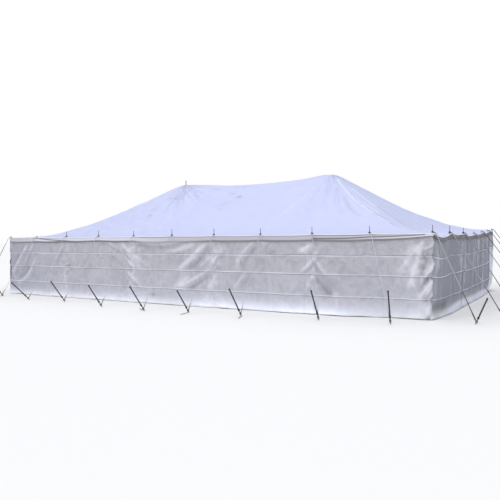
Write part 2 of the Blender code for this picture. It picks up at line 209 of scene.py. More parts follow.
def tube(path, radius, sides, strands=0, lay=1.0, groove=0.0):
    """A round bar or laid rope carried along a path of points, with closed ends.

    Each point stands radius from the path. A rope's radius also swells by the share groove over its strands,
    as a cosine of the angle round the path, which turns once in the length of a lay.
    """
    path = np.asarray(path, float)
    tangent = np.gradient(path, axis=0)
    tangent /= np.linalg.norm(tangent, axis=1)[:, None]
    run = path[-1] - path[0]
    level = (-run[1], run[0], 0.0) if np.hypot(run[0], run[1]) > 0.01 else (1.0, 0.0, 0.0)
    upright = np.array(level if np.abs(tangent[:, 2]).mean() > 0.8 else (0.0, 0.0, 1.0))
    side = np.cross(tangent, upright)
    side /= np.linalg.norm(side, axis=1)[:, None]
    other = np.cross(side, tangent)
    along = np.concatenate(([0.0], np.cumsum(np.linalg.norm(np.diff(path, axis=0), axis=1))))
    radius = np.broadcast_to(radius, len(path)).astype(float)
    path, side, other = (np.concatenate((row[:1], row, row[-1:])) for row in (path, side, other))
    along = np.concatenate((along[:1], along, along[-1:]))
    radius = np.concatenate(([0.0], radius, [0.0]))
    angle = np.linspace(0, 2 * np.pi, sides + 1)
    swell = 1 + groove * np.cos(strands * (angle[None, :] - 2 * np.pi * along[:, None] / lay))
    around = angle[None, :, None]
    ring = side[:, None] * np.cos(around) + other[:, None] * np.sin(around)
    flat = np.stack(np.broadcast_arrays(angle[None, :] * radius.max(), along[:, None]), -1)
    return path[:, None] + (radius[:, None] * swell)[..., None] * ring, flat


def turned(profile, centre, sides=24):
    """A turned shape: each (radius, height) of the profile carried once round the upright line over centre."""
    profile = np.array(profile, float)
    angle = np.linspace(0, 2 * np.pi, sides + 1)
    ring = np.stack((np.cos(angle), np.sin(angle), np.zeros_like(angle)), -1)
    points = profile[:, 0, None, None] * ring[None] + np.array(centre, float)
    points[..., 2] += profile[:, 1, None]
    flat = np.stack(np.broadcast_arrays(angle[None, :] * profile[:, 0].max(), profile[:, 1, None]), -1)
    return points, flat


def new_material(name):
    """A new material, with its node tree, its shader and the coordinates that its patterns read."""
    material = bpy.data.materials.new(name)
    material.use_nodes = True
    tree = material.node_tree
    return material, tree, tree.nodes["Principled BSDF"], add_node(tree, "TexCoord").outputs


# Hot-dipped galvanised steel tube, dull from weather: a mid grey metal with the pale and dark crystals of
# the zinc, a few centimetres across, and brown rust that starts in the low places.
galvanised, tree, shader, place = new_material("weathered galvanised steel")
crystals = add_node(tree, "TexVoronoi", {"Vector": place["Object"], "Scale": 60.0})
blotches = add_node(tree, "TexNoise", {"Vector": place["Object"], "Scale": 9.0, "Detail": 6.0,
                                       "Roughness": 0.65})
rusted = add_node(tree, "MapRange", {"Value": blotches, "From Min": 0.58, "From Max": 0.7})
# Each layer mixes its colour over those before it, as far as its value goes
colour = linear("#7d8082")
for layer, code in ((crystals, "#5a5d60"), (rusted, "#5b4636")):
    colour = add_node(tree, "Mix", {0: layer, 6: colour, 7: linear(code)}, data_type="RGBA")
dull = add_node(tree, "MapRange", {"Value": blotches, "To Min": 0.45, "To Max": 0.8})
pits = add_node(tree, "Bump", {"Height": blotches, "Strength": 0.25, "Distance": 0.004})
feed(shader, {"Base Color": colour, "Roughness": dull, "Metallic": 0.7, "Normal": pits})

for name in ("left", "right"):
    low, high = (np.array(corner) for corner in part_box(f"centre_pole_{name}"))
    radius = (high[1] - low[1]) / 2
    middle = ((low[0] + high[0]) / 2, 0.0, 0.0)
    shoulder = peak_height - 0.02
    joint_low, joint_high = peak_height / 2 - sleeve_length / 2, peak_height / 2 + sleeve_length / 2
    profile = [(0.0, 0.0), (foot_plate_radius, 0.0), (foot_plate_radius, foot_plate_height - 0.002),
               (foot_plate_radius - plate_bevel, foot_plate_height), (radius, foot_plate_height),
               (radius, joint_low), (sleeve_radius, joint_low + sleeve_bevel),
               (sleeve_radius, joint_high - sleeve_bevel), (radius, joint_high), (radius, shoulder - 0.03),
               (radius * 0.9, shoulder - 0.01), (radius * 0.6, shoulder), (0.0, shoulder + 0.004)]
    parts = [turned(profile, middle, 32)]
    if high[2] > peak_height + 0.01:
        pin_foot = shoulder - 0.05
        pin = [(0.0, pin_foot), (pin_radius, pin_foot), (pin_radius, high[2] - pin_tip),
               (pin_radius * 0.5, high[2] - 0.002), (0.0, high[2])]
        parts.append(turned(pin, middle, 16))
    pole = build(f"centre_pole_{name}_tube", parts, galvanised)
    pole.data.set_sharp_from_angle(angle=sharp_from)
    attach(pole, "root")
    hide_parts(f"centre_pole_{name}")


# The side poles: 32 steel tubes of 48 mm, one every 1.5 m, each with a foot plate, a crimped head and a thin
# spike that stands up through an eyelet of the roof. A laid rope along the eaves ties their tops together.
bay = 1.5
end_bow = 0.13
pole_inset = 0.035
side_pole_radius = 0.024
spike_radius = 0.008
eaves_rope_radius = 0.006
eaves_rope_drop = 0.021
head_drop = 0.009
on_ground, foot_near, spike_near = 0.001, 0.5, 0.1
rope_lay = 0.075
rope_groove = 0.13
eaves_height = 2.0
corner_rises, corner_rise_reach = (0.0, 0.0, 0.15, 0.0), 4.5
side_names = ("front", "right", "back", "left")
side_counts = (11, 5, 11, 5)
side_run = np.array(((1, 0), (0, 1), (-1, 0), (0, -1)), float)
side_out = np.array(((0, -1), (1, 0), (0, 1), (-1, 0)), float)
half_long, half_wide = roof_high[0] - end_bow, roof_high[1]
side_half = np.array((half_long, half_wide) * 2)
side_reach = np.array((half_wide, half_long) * 2)
side_bow = np.array((0.0, end_bow) * 2)
bay_sag = (np.full(10, 0.012), (0.09, 0.03, 0.06, 0.04, 0.05, 0.03), np.full(10, 0.03), np.full(6, 0.06))
round_sag = np.concatenate(bay_sag)
side_start = np.concatenate(([0.0], np.cumsum(2 * side_half)))[:4]
round_edge = 2 * side_half.sum()
left_draw, draw_from, draw_reach = 0.05, np.array((6.9, 3.3)), np.array((0.6, 0.9))


def ramp(value, start, reach):
    """Rises in a straight line from 0 at start to 1 at reach past it, or before it where reach is negative."""
    return np.clip((value - start) / reach, 0, 1)


def off_nearest(value, spacing):
    """How far a value lies from the nearest whole multiple of the spacing."""
    return np.mod(value + spacing / 2, spacing) - spacing / 2


def on_side(walked):
    """Turns metres walked round the eaves, from the front left corner by the front, into side and place."""
    walked = np.mod(walked, round_edge)
    side = np.searchsorted(side_start, walked, side="right") - 1
    return side, walked - side_start[side] - side_half[side]


def edge_plan(walked, inset=0.0):
    """The roof's edge in plan: straight along the front and back, a shallow parabola on the ends, set in."""
    side, along = on_side(walked)
    distance = side_reach[side] + side_bow[side] * (1 - (along / side_half[side]) ** 2) - inset
    along = np.clip(along, inset - side_half[side], side_half[side] - inset)
    return side_run[side] * along[..., None] + side_out[side] * distance[..., None]


def drawn_in(plan):
    """Pulls the front left corner along X by left_draw, which falls in a straight line along both sides."""
    share = ramp(-plan, draw_from, draw_reach).prod(-1)
    return plan + left_draw * share[..., None] * side_run[0]


def edge_height(walked):
    """The height of the roof's edge: level at the poles, with a straight rise to one corner, and parabolas."""
    side, along = on_side(walked)
    height = np.full(np.shape(along), eaves_height)
    for corner, rise in enumerate(corner_rises):
        gap = np.abs(off_nearest(walked - side_start[corner], round_edge))
        height = height + rise * np.clip(1 - gap / corner_rise_reach, 0, 1)
    bays = np.mod(walked, round_edge) / bay
    number = np.clip(np.floor(bays).astype(int), 0, len(round_sag) - 1)
    return height - round_sag[number] * 4 * (bays - number) * (1 - bays + number)


def node_points(node):
    """The vertices of a CAD node as an array."""
    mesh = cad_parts[node].data
    points = np.zeros(len(mesh.vertices) * 3, np.float32)
    mesh.vertices.foreach_get("co", points)
    return points.reshape(-1, 3).astype(float)


pole_walk = np.arange(0, round_edge - bay / 2, bay)
pole_plan = drawn_in(edge_plan(pole_walk, pole_inset))
pole_side = np.repeat(side_names, side_counts)
for side in side_names:
    row = node_points(f"pole_row_{side}")
    poles = []
    for member in np.flatnonzero(pole_side == side):
        plan = pole_plan[member]
        off_plan = np.linalg.norm(row[:, :2] - plan, axis=1)
        foot = row[(row[:, 2] < on_ground) & (off_plan < foot_near)].mean(0)
        head = np.array((*plan, edge_height(pole_walk[member]) - head_drop))
        tip = row[off_plan < spike_near][:, 2].max()
        tube_path = foot + (head - foot) * np.array((0.0, 0.004, 0.5, 0.955, 0.965, 0.994, 1.0))[:, None]
        tube_radius = side_pole_radius * np.array((1.0, 1.0, 1.0, 1.0, 0.86, 0.86, 0.7))
        plate = foot + np.array(((0.0, 0.0, 0.0), (0.0, 0.0, 0.003), (0.0, 0.0, 0.006)))
        spike = np.array([(*plan, height) for height in (head[2] - 0.03, tip - 0.05, tip - 0.012, tip)])
        poles += [tube(tube_path, tube_radius, 16), tube(plate, (0.045, 0.045, 0.042), 16),
                  tube(spike, spike_radius * np.array((1.0, 1.0, 0.85, 0.35)), 8)]
    piece = build(f"side_poles_{side}", poles, galvanised)
    piece.data.set_sharp_from_angle(angle=sharp_from)
    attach(piece, "root")
    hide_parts(f"pole_row_{side}")

# Three-strand laid rope of 15 mm, pale grey and grimy where it is knotted and near the ground: a matt fibre.
# The strands are in the mesh, and the finer yarns of each, 1.5 mm wide, are drawn as wide as they need to show.
laid_rope, tree, shader, place = new_material("three-strand laid rope")
grime = add_node(tree, "Attribute", attribute_name="soil").outputs["Fac"]
yarns = add_node(tree, "TexWave", {"Vector": place["UV"], "Scale": 90.0, "Distortion": 2.0, "Detail": 2.0},
                 bands_direction="DIAGONAL").outputs["Fac"]
fade = add_node(tree, "TexNoise", {"Vector": place["Object"], "Scale": 5.0, "Detail": 5.0})
colour = linear("#c3c4d2")
for layer, code in ((yarns, "#d3d4e2"), (fade, "#b9bac8"), (grime, "#3a352e")):
    colour = add_node(tree, "Mix", {0: layer, 6: colour, 7: linear(code)}, data_type="RGBA")
twist = add_node(tree, "Bump", {"Height": yarns, "Strength": 0.5, "Distance": 0.001})
feed(shader, {"Base Color": colour, "Roughness": 0.92, "Sheen Weight": 0.15, "Normal": twist})

eaves_rope_step, eaves_rope_soil = 0.03, 0.1
for number, side in enumerate(side_names):
    set_in = pole_inset if side in ("front", "back") else bay
    start, end = side_start[number] + set_in, side_start[number] + 2 * side_half[number] - set_in
    walked = np.linspace(start, end, round((end - start) / eaves_rope_step))
    plan = drawn_in(edge_plan(walked, pole_inset))
    path = np.column_stack((plan, edge_height(walked) - eaves_rope_drop))
    grid = tube(path, eaves_rope_radius, 9, 3, rope_lay * 2, rope_groove)
    piece = build(f"eaves_rope_{side}", [grid], laid_rope, soil=[np.full(grid[0].shape[:2], eaves_rope_soil)])
    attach(piece, "root")
    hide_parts(f"pole_row_{side}")


# The roof: one sheet of PVC-coated polyester, welded up from panels, thrown over both peaks and pulled down at
# every side pole. Folds run out from the peaks and down the hips, and each pole gathers short ones at the edge.
roof_rows, row_crowding = 88, 1.12
roof_steepness, roof_ease = 1.37, 0.16
hip_round = 0.14
# Where each hip, of the right or left end, hangs low or stands high: place from peak to edge, reach and amount
hip_bends = ((1, 0.13, 0.08, 0.012), (1, 0.33, 0.14, 0.045), (1, 0.57, 0.10, -0.020), (1, 0.79, 0.14, -0.066),
             (-1, 0.36, 0.13, -0.004), (-1, 0.70, 0.14, -0.040))
ridge_sag = 0.15
# Where the ridge rises off its sag: start and reach as shares of the way between the peaks, skew and height
ridge_rises = ((0.74, 0.26, 2.4, 0.04), (0.0, 0.32, 1.0, 0.028))
edge_band = 0.12
gather_spread, gather_count = 1.1, 6
gather_widths = (0.015, 0.04)
# Soft swells of the slack cloth: how proud, size in metres, and seed
roof_swells = ((0.010, 1.3, 3), (0.004, 0.45, 5), (0.0016, 0.16, 6))
ridge_round = 0.035
lattice_size = (67, 71)
roof_cloth = 0.0016
peak_x = [float(sum(corner[0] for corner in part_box(f"centre_pole_{name}")) / 2) for name in ("left", "right")]
# Each fold from a peak: its start, middle and end from the peak, its width at both ends, and its height
left_peak_folds = (
    (0.13, -0.36, 0.68, -0.78, 1.25, -1.20, 0.012, 0.02, -0.024),
    (0.26, -0.29, 0.86, -0.71, 1.47, -1.14, 0.012, 0.02, -0.022),
    (0.17, -0.60, 0.65, -1.04, 1.23, -1.56, 0.012, 0.02, -0.022),
    (0.37, -0.24, 0.90, -0.51, 1.48, -0.81, 0.012, 0.02, -0.018),
    (0.20, -0.32, 0.80, -0.78, 1.46, -1.27, 0.012, 0.02, 0.018),
    (0.14, -0.46, 0.69, -0.94, 1.31, -1.46, 0.012, 0.02, 0.018),
    (0.32, -0.23, 0.92, -0.61, 1.55, -1.00, 0.012, 0.02, 0.014),
    (0.09, -0.67, 0.55, -1.24, 1.12, -1.87, 0.015, 0.03, -0.014),
    (-0.11, -0.73, 0.32, -1.43, 0.79, -2.18, 0.02, 0.04, -0.012),
    (0.61, -0.24, 1.33, -0.47, 2.05, -0.68, 0.012, 0.02, -0.010),
    (-0.10, -0.50, -0.12, -1.20, -0.20, -1.80, 0.02, 0.04, -0.010),
    (-0.35, -0.50, -0.70, -1.10, -1.10, -1.80, 0.02, 0.04, -0.010),
)
right_peak_folds = (
    (0.01, -0.26, -0.39, -1.33, -0.79, -2.50, 0.020, 0.028, 0.014),
    (-0.55, -1.70, -0.80, -2.60, -0.81, -3.32, 0.02, 0.03, 0.014),
    (-0.10, -1.49, 0.06, -1.72, 0.27, -1.95, 0.015, 0.02, -0.014),
    (-0.20, -1.80, 0.02, -2.02, 0.26, -2.20, 0.015, 0.02, -0.014),
    (-0.30, -2.10, -0.08, -2.40, 0.14, -2.60, 0.015, 0.02, -0.010),
    (0.04, -0.37, 0.14, -0.74, 0.38, -1.40, 0.015, 0.03, -0.016),
    (0.19, -0.55, 0.29, -0.82, 0.40, -1.10, 0.012, 0.02, -0.014),
    (-0.02, -0.55, 0.12, -0.86, 0.25, -1.14, 0.012, 0.02, -0.012),
    (-0.18, -0.75, -0.07, -1.06, 0.03, -1.35, 0.015, 0.02, -0.010),
    (0.22, -1.31, 0.39, -1.75, 0.56, -2.17, 0.02, 0.03, -0.008),
    (0.20, -0.28, 1.13, -1.27, 1.95, -2.05, 0.024, 0.034, 0.036),
    (1.61, -1.69, 1.97, -2.10, 2.27, -2.41, 0.024, 0.03, 0.026),
    (1.10, -1.10, 1.78, -1.62, 2.50, -2.05, 0.024, 0.03, 0.034),
    (0.86, -0.62, 1.47, -1.04, 2.12, -1.48, 0.022, 0.028, 0.026),
    (0.60, -0.66, 1.38, -1.40, 2.05, -1.92, 0.022, 0.03, -0.030),
    (1.40, -1.22, 2.00, -1.66, 2.50, -1.90, 0.020, 0.026, -0.026),
    (0.70, -0.40, 1.28, -0.72, 1.95, -1.05, 0.020, 0.03, -0.020),
    (0.91, -1.30, 1.44, -2.04, 2.18, -2.81, 0.025, 0.035, -0.028),
    (1.12, -1.69, 1.44, -2.09, 1.90, -2.54, 0.02, 0.025, -0.020),
    (1.33, -1.91, 1.76, -2.41, 2.22, -2.86, 0.02, 0.028, 0.022),
    (1.36, -0.56, 1.87, -0.82, 2.40, -1.05, 0.02, 0.03, 0.014),
    (2.30, -1.85, 2.66, -2.12, 3.00, -2.35, 0.02, 0.025, 0.018),
    (2.31, -2.49, 2.60, -2.74, 2.92, -3.04, 0.02, 0.025, 0.020),
    (0.49, -0.86, 0.83, -1.48, 1.08, -1.89, 0.02, 0.03, -0.018),
    (0.69, -1.20, 0.98, -1.68, 1.18, -2.00, 0.02, 0.025, 0.014),
)
eaves_folds = (
    (1.33, -2.62, 1.56, -2.82, 1.78, -2.98, 0.03, 0.04, -0.012),
    (1.28, -2.24, 1.60, -2.58, 1.92, -2.84, 0.03, 0.04, -0.012),
    (0.81, -2.89, 1.22, -3.00, 1.68, -3.06, 0.03, 0.04, -0.012),
    (1.10, -2.50, 1.40, -2.96, 1.62, -3.40, 0.03, 0.05, -0.010),
    (2.70, -2.60, 2.90, -3.00, 3.00, -3.50, 0.03, 0.05, -0.010),
    (2.40, -2.90, 2.72, -3.10, 3.02, -3.30, 0.03, 0.04, -0.010),
    (0.30, -2.60, 0.62, -3.10, 0.86, -3.60, 0.04, 0.06, -0.010),
)
# Brown marks on the front of the roof: place in plan, half length and half width in metres, and strength
roof_marks = (
    (-2.60, -1.05, 0.26, 0.05, 0.55), (-2.94, -2.06, 0.09, 0.09, 0.65), (-3.03, -1.70, 0.16, 0.12, 0.25),
    (-0.13, -0.28, 0.30, 0.07, 0.40), (0.14, -0.98, 0.10, 0.07, 0.75), (-0.21, -0.76, 0.15, 0.10, 0.40),
    (-0.12, -1.40, 0.24, 0.12, 0.30), (-0.15, -1.72, 0.10, 0.08, 0.40), (-5.0, -2.4, 2.4, 2.2, 0.12),
)


def fold(x, y, place, widths, height):
    """A fold in a sheet: a rounded ridge whose height falls as the exponential of the distance from an arc.

    The arc is a parabola through the three points of place: start, middle and end. The ridge widens along it,
    and fades at both ends by a cubic.
    """
    x0, y0, xm, ym, x1, y1 = place
    length = np.hypot(x1 - x0, y1 - y0)
    middle = np.clip(((xm - x0) * (x1 - x0) + (ym - y0) * (y1 - y0)) / length**2, 0.2, 0.8)
    bow = ((xm - x0) * (y1 - y0) - (ym - y0) * (x1 - x0)) / length / (middle * (1 - middle))
    run = ((x - x0) * (x1 - x0) + (y - y0) * (y1 - y0)) / length**2
    off = ((x - x0) * (y1 - y0) - (y - y0) * (x1 - x0)) / length - bow * run * (1 - run)
    wide = widths[0] + (widths[1] - widths[0]) * np.clip(run, 0, 1)
    fade = np.clip(run / 0.2 + 0.25, 0, 1) * np.clip((1 - run) / 0.3 + 0.1, 0, 1)
    fade = fade * (run > -0.05) * (run < 1.03)
    return height * np.exp(0.35 - np.hypot(off / wide, 0.35)) * fade * fade * (3 - 2 * fade)


def swells(x, y, size, seed):
    """Smooth random swells between -1 and 1: random heights on a square lattice, blended by a cubic."""
    lattice = np.random.default_rng(seed).uniform(-1, 1, lattice_size)
    left, low = np.floor(x / size).astype(int), np.floor(y / size).astype(int)
    across, up = x / size - left, y / size - low
    across, up = across**2 * (3 - 2 * across), up**2 * (3 - 2 * up)
    corner = [lattice[(left + i) % lattice_size[0], (low + j) % lattice_size[1]]
              for j in (0, 1) for i in (0, 1)]
    below = corner[0] * (1 - across) + corner[1] * across
    above = corner[2] * (1 - across) + corner[3] * across
    return below * (1 - up) + above * up


def eased(rise):
    """A straight slope that bends smoothly to level where it would pass below zero."""
    straight = 1 + roof_steepness * (rise - 1)
    return (straight + np.hypot(straight, roof_ease)) / 2


def roof_surface(walked, run):
    """The roof's top: lines run from the ridge between the peaks to the edge, walked round by the eaves.

    run goes from 0 on the ridge to 1 at the edge. The height falls as the eased slope, rounded over at the top
    and, by the softened maximum of the run along the side and along the end, across the hips.
    """
    edge = edge_plan(walked)
    side, _ = on_side(walked)
    top_x = np.where(side == 1, peak_x[1], np.where(side == 3, peak_x[0], np.clip(edge[..., 0], *peak_x)))
    between = (top_x - peak_x[0]) / (peak_x[1] - peak_x[0])
    ridge = peak_height - ridge_sag * 4 * between * (1 - between)
    for start, reach, skew, rise in ridge_rises:
        ridge = ridge + rise * np.sin(np.pi * ramp(between, start, reach) ** skew)
    length = np.hypot(edge[..., 0] - top_x, edge[..., 1])
    beside = np.where(side % 2 == 1, np.abs(edge[..., 1]) / half_wide,
                      np.abs(edge[..., 0] - top_x) / (half_long - np.abs(top_x)))
    width = hip_round * run * (1 - run) + 1e-6
    over_hip = run + width * np.log1p(np.exp(-run * (1 - beside) / width))
    over_hip += beside**5 * sum(rise * np.exp(-((run - at) / wide) ** 2) * (edge[..., 0] * end > 0)
                                for end, at, wide, rise in hip_bends)
    ring = np.clip(over_hip * length / (length - edge_band), 0, 1)
    ring = (np.hypot(ring, ridge_round) - ridge_round) / (np.hypot(1, ridge_round) - ridge_round)
    low = edge_height(walked)
    height = low + (ridge - low) * (eased(1 - ring) - eased(0.0)) / (eased(1.0) - eased(0.0))
    x = top_x + (edge[..., 0] - top_x) * run
    y = edge[..., 1] * run
    return x, y, height


def roof_half(walk, rows):
    """The points of one half of the roof, with its place on the flat cloth, its marks and its creases.

    On the plain surface stand the folds from the peaks, down the hips and round every side pole, and soft
    swells. They lift it along Z, and fade to nothing at the ridge and the edge. The creases come back as
    painted shade in the hollows of the folds and painted highlight on their crests.
    """
    walked, run = np.meshgrid(walk, np.linspace(0, 1, rows) ** row_crowding)
    x, y, z = roof_surface(walked, run)
    folds = np.zeros_like(z)
    creased = [(peak_x[0], 1, 1.0, row) for row in left_peak_folds]
    creased += [(peak_x[1], 1, 1.0, row) for row in right_peak_folds]
    creased += [(peak_x[0], -1, 0.5, row) for row in right_peak_folds[9:]]
    creased += [(peak_x[0], 1, 1.0, row) for row in eaves_folds]
    for peak, mirror, share, (*place, wide0, wide1, height) in creased:
        for across, strength in ((1, share), (-1, 0.8 * share)):
            here = np.array(place) * (mirror, across, mirror, across, mirror, across)
            folds += fold(x, y, here + (peak, 0, peak, 0, peak, 0), (wide0, wide1), height * strength)
    chance = np.random.default_rng(41)
    for member, plan in enumerate(pole_plan):
        inward = -side_out[on_side(pole_walk[member])[0]]
        even_turns = np.linspace(-gather_spread, gather_spread, gather_count)
        for turn in even_turns + chance.uniform(-0.15, 0.15, gather_count):
            turned_in = np.array((inward[0] * np.cos(turn) - inward[1] * np.sin(turn),
                                  inward[0] * np.sin(turn) + inward[1] * np.cos(turn)))
            start, end = plan + turned_in * 0.03, plan + turned_in * chance.uniform(0.25, 0.75)
            folds += fold(x, y, (*start, *(start + end) / 2, *end), gather_widths, chance.uniform(0.004, 0.010))
    free = ramp(run, 0, 0.03) * ramp(run, 1, -0.04)
    along_ridge = 0.006 * swells(x * 0.25, y, 0.12, 7) * np.exp(-(y / 0.5) ** 2)
    slack = sum(proud * swells(x, y, size, seed) for proud, size, seed in roof_swells)
    soil = np.zeros_like(z)
    for mark_x, mark_y, long, wide, strength in roof_marks:
        soil += strength * np.exp(-((x - mark_x) / long) ** 2 - ((y - mark_y) / wide) ** 2)
    points = np.stack((x, y, z + free * (folds + along_ridge + slack)), -1)
    flat = np.stack((walked, np.hypot(x - np.clip(x, *peak_x), y)), -1)
    # The last value is painted shade in the hollows of the folds and painted highlight on their crests
    return points, flat, soil, np.clip(folds / 0.04, -1, 1) * free


# PVC-coated polyester, knife-coated and lacquered: bluish white with a satin gloss and a faint print of its
# cloth, drawn at 7 mm, as coarse as it needs to show. Its welded seams, 40 mm wide and 3 m apart, lie a shade
# lighter, dust and brown marks a shade darker, and fine gathers fan out from the nearer peak. Painted shade
# lies in the hollows of its folds and gathers, painted highlight on the crests of its folds, and painted light
# on the slope past the right peak.
seam_near, seam_far = 0.018, 0.022
coated, tree, shader, place = new_material("PVC-coated polyester")
marks = add_node(tree, "Attribute", attribute_name="soil").outputs["Fac"]
crease = add_node(tree, "Attribute", attribute_name="crease").outputs["Fac"]
cut = add_node(tree, "SeparateXYZ", {"Vector": place["UV"]}).outputs
at = add_node(tree, "SeparateXYZ", {"Vector": place["Object"]}).outputs
broad = add_node(tree, "TexNoise", {"Vector": place["Object"], "Scale": 0.35, "Detail": 3.0})
fine = add_node(tree, "TexNoise", {"Vector": place["Object"], "Scale": 3.0, "Detail": 8.0, "Roughness": 0.7})
dusty = add_node(tree, "MapRange", {"Value": fine, "From Min": 0.45, "From Max": 0.8, "To Max": 0.28})
panel = add_node(tree, "Math", {0: cut["X"], 1: bay}, operation="PINGPONG")
seam = add_node(tree, "MapRange", {"Value": panel, "From Min": seam_near, "From Max": seam_far,
                                   "To Min": 1.0, "To Max": 0.0})
welded = add_node(tree, "Math", {0: seam, 1: 0.12}, operation="MULTIPLY")
broken = add_node(tree, "MapRange", {"Value": fine, "From Min": 0.35, "From Max": 0.6})
marked = add_node(tree, "Math", {0: marks, 1: broken}, operation="MULTIPLY", use_clamp=True)
# Painted shade in the hollows of the folds and painted highlight on their crests
hollow = add_node(tree, "MapRange", {"Value": crease, "From Max": -1.0, "To Max": 0.42})
rubbed = add_node(tree, "MapRange", {"Value": crease, "From Min": 0.12, "To Max": 0.9})
right_half = add_node(tree, "Math", {0: at["X"], 1: sum(peak_x) / 2}, operation="GREATER_THAN")
peak_at = add_node(tree, "MapRange", {"Value": right_half, "To Min": peak_x[0], "To Max": peak_x[1]})
off_peak = add_node(tree, "Math", {0: at["X"], 1: peak_at}, operation="SUBTRACT")
level_off = add_node(tree, "CombineXYZ", {"X": off_peak, "Y": at["Y"]})
from_peak = add_node(tree, "VectorMath", {0: level_off}, operation="LENGTH")
bearing = add_node(tree, "VectorMath", {0: level_off}, operation="NORMALIZE")
bearing_x = add_node(tree, "SeparateXYZ", {"Vector": bearing}).outputs["X"]
spokes = add_node(tree, "VectorMath", {0: bearing, "Scale": 11.0}, operation="SCALE")
outwards = add_node(tree, "Math", {0: from_peak, 1: 0.7}, operation="MULTIPLY")
fan_place = add_node(tree, "CombineXYZ", {"Z": outwards})
fan_at = add_node(tree, "VectorMath", {0: spokes, 1: fan_place}, operation="ADD")
fan = add_node(tree, "TexNoise", {"Vector": fan_at, "Scale": 1.0, "Detail": 3.0, "Roughness": 0.55})
fan_level = add_node(tree, "Math", {0: fan, 1: 0.5}, operation="SUBTRACT")
fan_patch = add_node(tree, "MapRange", {"Value": broad, "From Min": 0.4, "From Max": 0.6,
                                        "To Min": 0.5, "To Max": 1.1})
fan_side = add_node(tree, "MapRange", {"Value": bearing_x, "From Min": -0.45, "From Max": 0.45, "To Min": 0.2})
fan_share = add_node(tree, "MapRange", {"Value": from_peak, "From Min": 2.9, "From Max": 0.6})
for factor in (fan_patch, fan_side):
    fan_share = add_node(tree, "Math", {0: fan_share, 1: factor}, operation="MULTIPLY")
fan_height = add_node(tree, "Math", {0: fan_level, 1: fan_share}, operation="MULTIPLY")
# Painted shade in the hollows of the gathers
fan_dark = add_node(tree, "MapRange", {"Value": fan_height, "From Min": 0.02, "From Max": -0.16, "To Max": 0.5})
# Painted light on the end slope past the right peak, which the key light leaves darker
past_peak = add_node(tree, "Math", {0: bearing_x, 1: right_half}, operation="MULTIPLY")
rinsed = add_node(tree, "MapRange", {"Value": past_peak, "From Min": 0.5, "From Max": 0.95, "To Max": 0.14})
colour = linear("#cdd3f5")
for layer, code in ((broad, "#d6daf7"), (dusty, "#bfc6dd"), (welded, "#e2e7fb"), (marked, "#93908d"),
                    (hollow, "#a9b1ce"), (rubbed, "#fafbff"), (fan_dark, "#a9b1ce"), (rinsed, "#e9ecfa")):
    colour = add_node(tree, "Mix", {0: layer, 6: colour, 7: linear(code)}, data_type="RGBA")
gloss = add_node(tree, "MapRange", {"Value": fine, "To Min": 0.4, "To Max": 0.62})
print_of_cloth = add_node(tree, "TexNoise", {"Vector": place["Object"], "Scale": 140.0, "Detail": 2.0})
raised = add_node(tree, "Math", {0: seam, 1: 2.0, 2: print_of_cloth}, operation="MULTIPLY_ADD")
relief = add_node(tree, "Bump", {"Height": raised, "Strength": 0.2, "Distance": 0.0015})
fan_relief = add_node(tree, "Bump", {"Height": fan_height, "Strength": 0.9, "Distance": 0.09, "Normal": relief})
feed(shader, {"Base Color": colour, "Roughness": gloss, "Normal": fan_relief})


def thicken(sheet, thickness):
    """Gives a sheet the thickness of its cloth, inwards from the face that shows."""
    cloth = sheet.modifiers.new("cloth", "SOLIDIFY")
    cloth.thickness = thickness
    cloth.offset = -1.0


quarter, middle_run = side_half[1], 9.0
for half, counts in (("front", (30, 190, 210, 110)), ("back", (50, 95, 95, 50))):
    first = -quarter if half == "front" else side_start[1] + quarter
    breaks = first + np.cumsum((0.0, quarter, middle_run, 2 * side_half[0] - middle_run, quarter))
    runs = [low + (high - low) * np.linspace(0, 1, count + 1)[:-1]
            for low, high, count in zip(breaks, breaks[1:], counts)]
    walk = np.concatenate((*runs, breaks[-1:]))
    points, flat, soil, creases = roof_half(walk, roof_rows)
    points[:, (0, -1), 1] = 0.0
    roof = build(f"roof_sheet_{half}", [(points, flat)], coated, closed=False, soil=[soil], crease=[creases])
    thicken(roof, roof_cloth)
    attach(roof, "root")
    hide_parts("roof_canopy")

# The roof's edge: a white bolt rope of 18 mm welded into the hem, right round the tent, and a brass eyelet
# where each spike comes through.
bolt_rope_radius, bolt_rope_step, bolt_rope_out, bolt_rope_drop = 0.009, 0.04, 0.002, 0.006
eyelet_radius, eyelet_wire, eyelet_rise = 0.019, 0.0035, 0.001
hem_walk = np.arange(0, round_edge + bolt_rope_step / 2, bolt_rope_step)
hem_line = np.column_stack((edge_plan(hem_walk, -bolt_rope_out), edge_height(hem_walk) - bolt_rope_drop))
grid = tube(hem_line, bolt_rope_radius, 8)
# The bolt rope gets the full painted crest highlight along its whole length
bolt_rope = build("roof_edge_rope", [grid], coated, soil=[np.zeros(grid[0].shape[:2])],
                  crease=[np.ones(grid[0].shape[:2])])
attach(bolt_rope, "root")
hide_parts("roof_canopy")

# Brass wire, pressed into a ring and long in the weather: a dull yellow-brown metal, dark in patches of 30 mm.
brass, tree, shader, place = new_material("tarnished brass")
tarnish = add_node(tree, "TexNoise", {"Vector": place["Object"], "Scale": 30.0, "Detail": 4.0})
metal = add_node(tree, "Mix", {0: tarnish, 6: linear("#8d7a4e"), 7: linear("#4f4636")}, data_type="RGBA")
feed(shader, {"Base Color": metal, "Metallic": 0.9, "Roughness": 0.45})

eyelets = []
turn = np.linspace(0, 2 * np.pi, 25)
for member, plan in enumerate(pole_plan):
    ring = np.column_stack((plan[0] + eyelet_radius * np.cos(turn), plan[1] + eyelet_radius * np.sin(turn),
                            np.full(25, edge_height(pole_walk[member]) + eyelet_rise)))
    eyelets.append(tube(ring, eyelet_wire, 8))
eyelet_rings = build("roof_eyelets", eyelets, brass)
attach(eyelet_rings, "root")


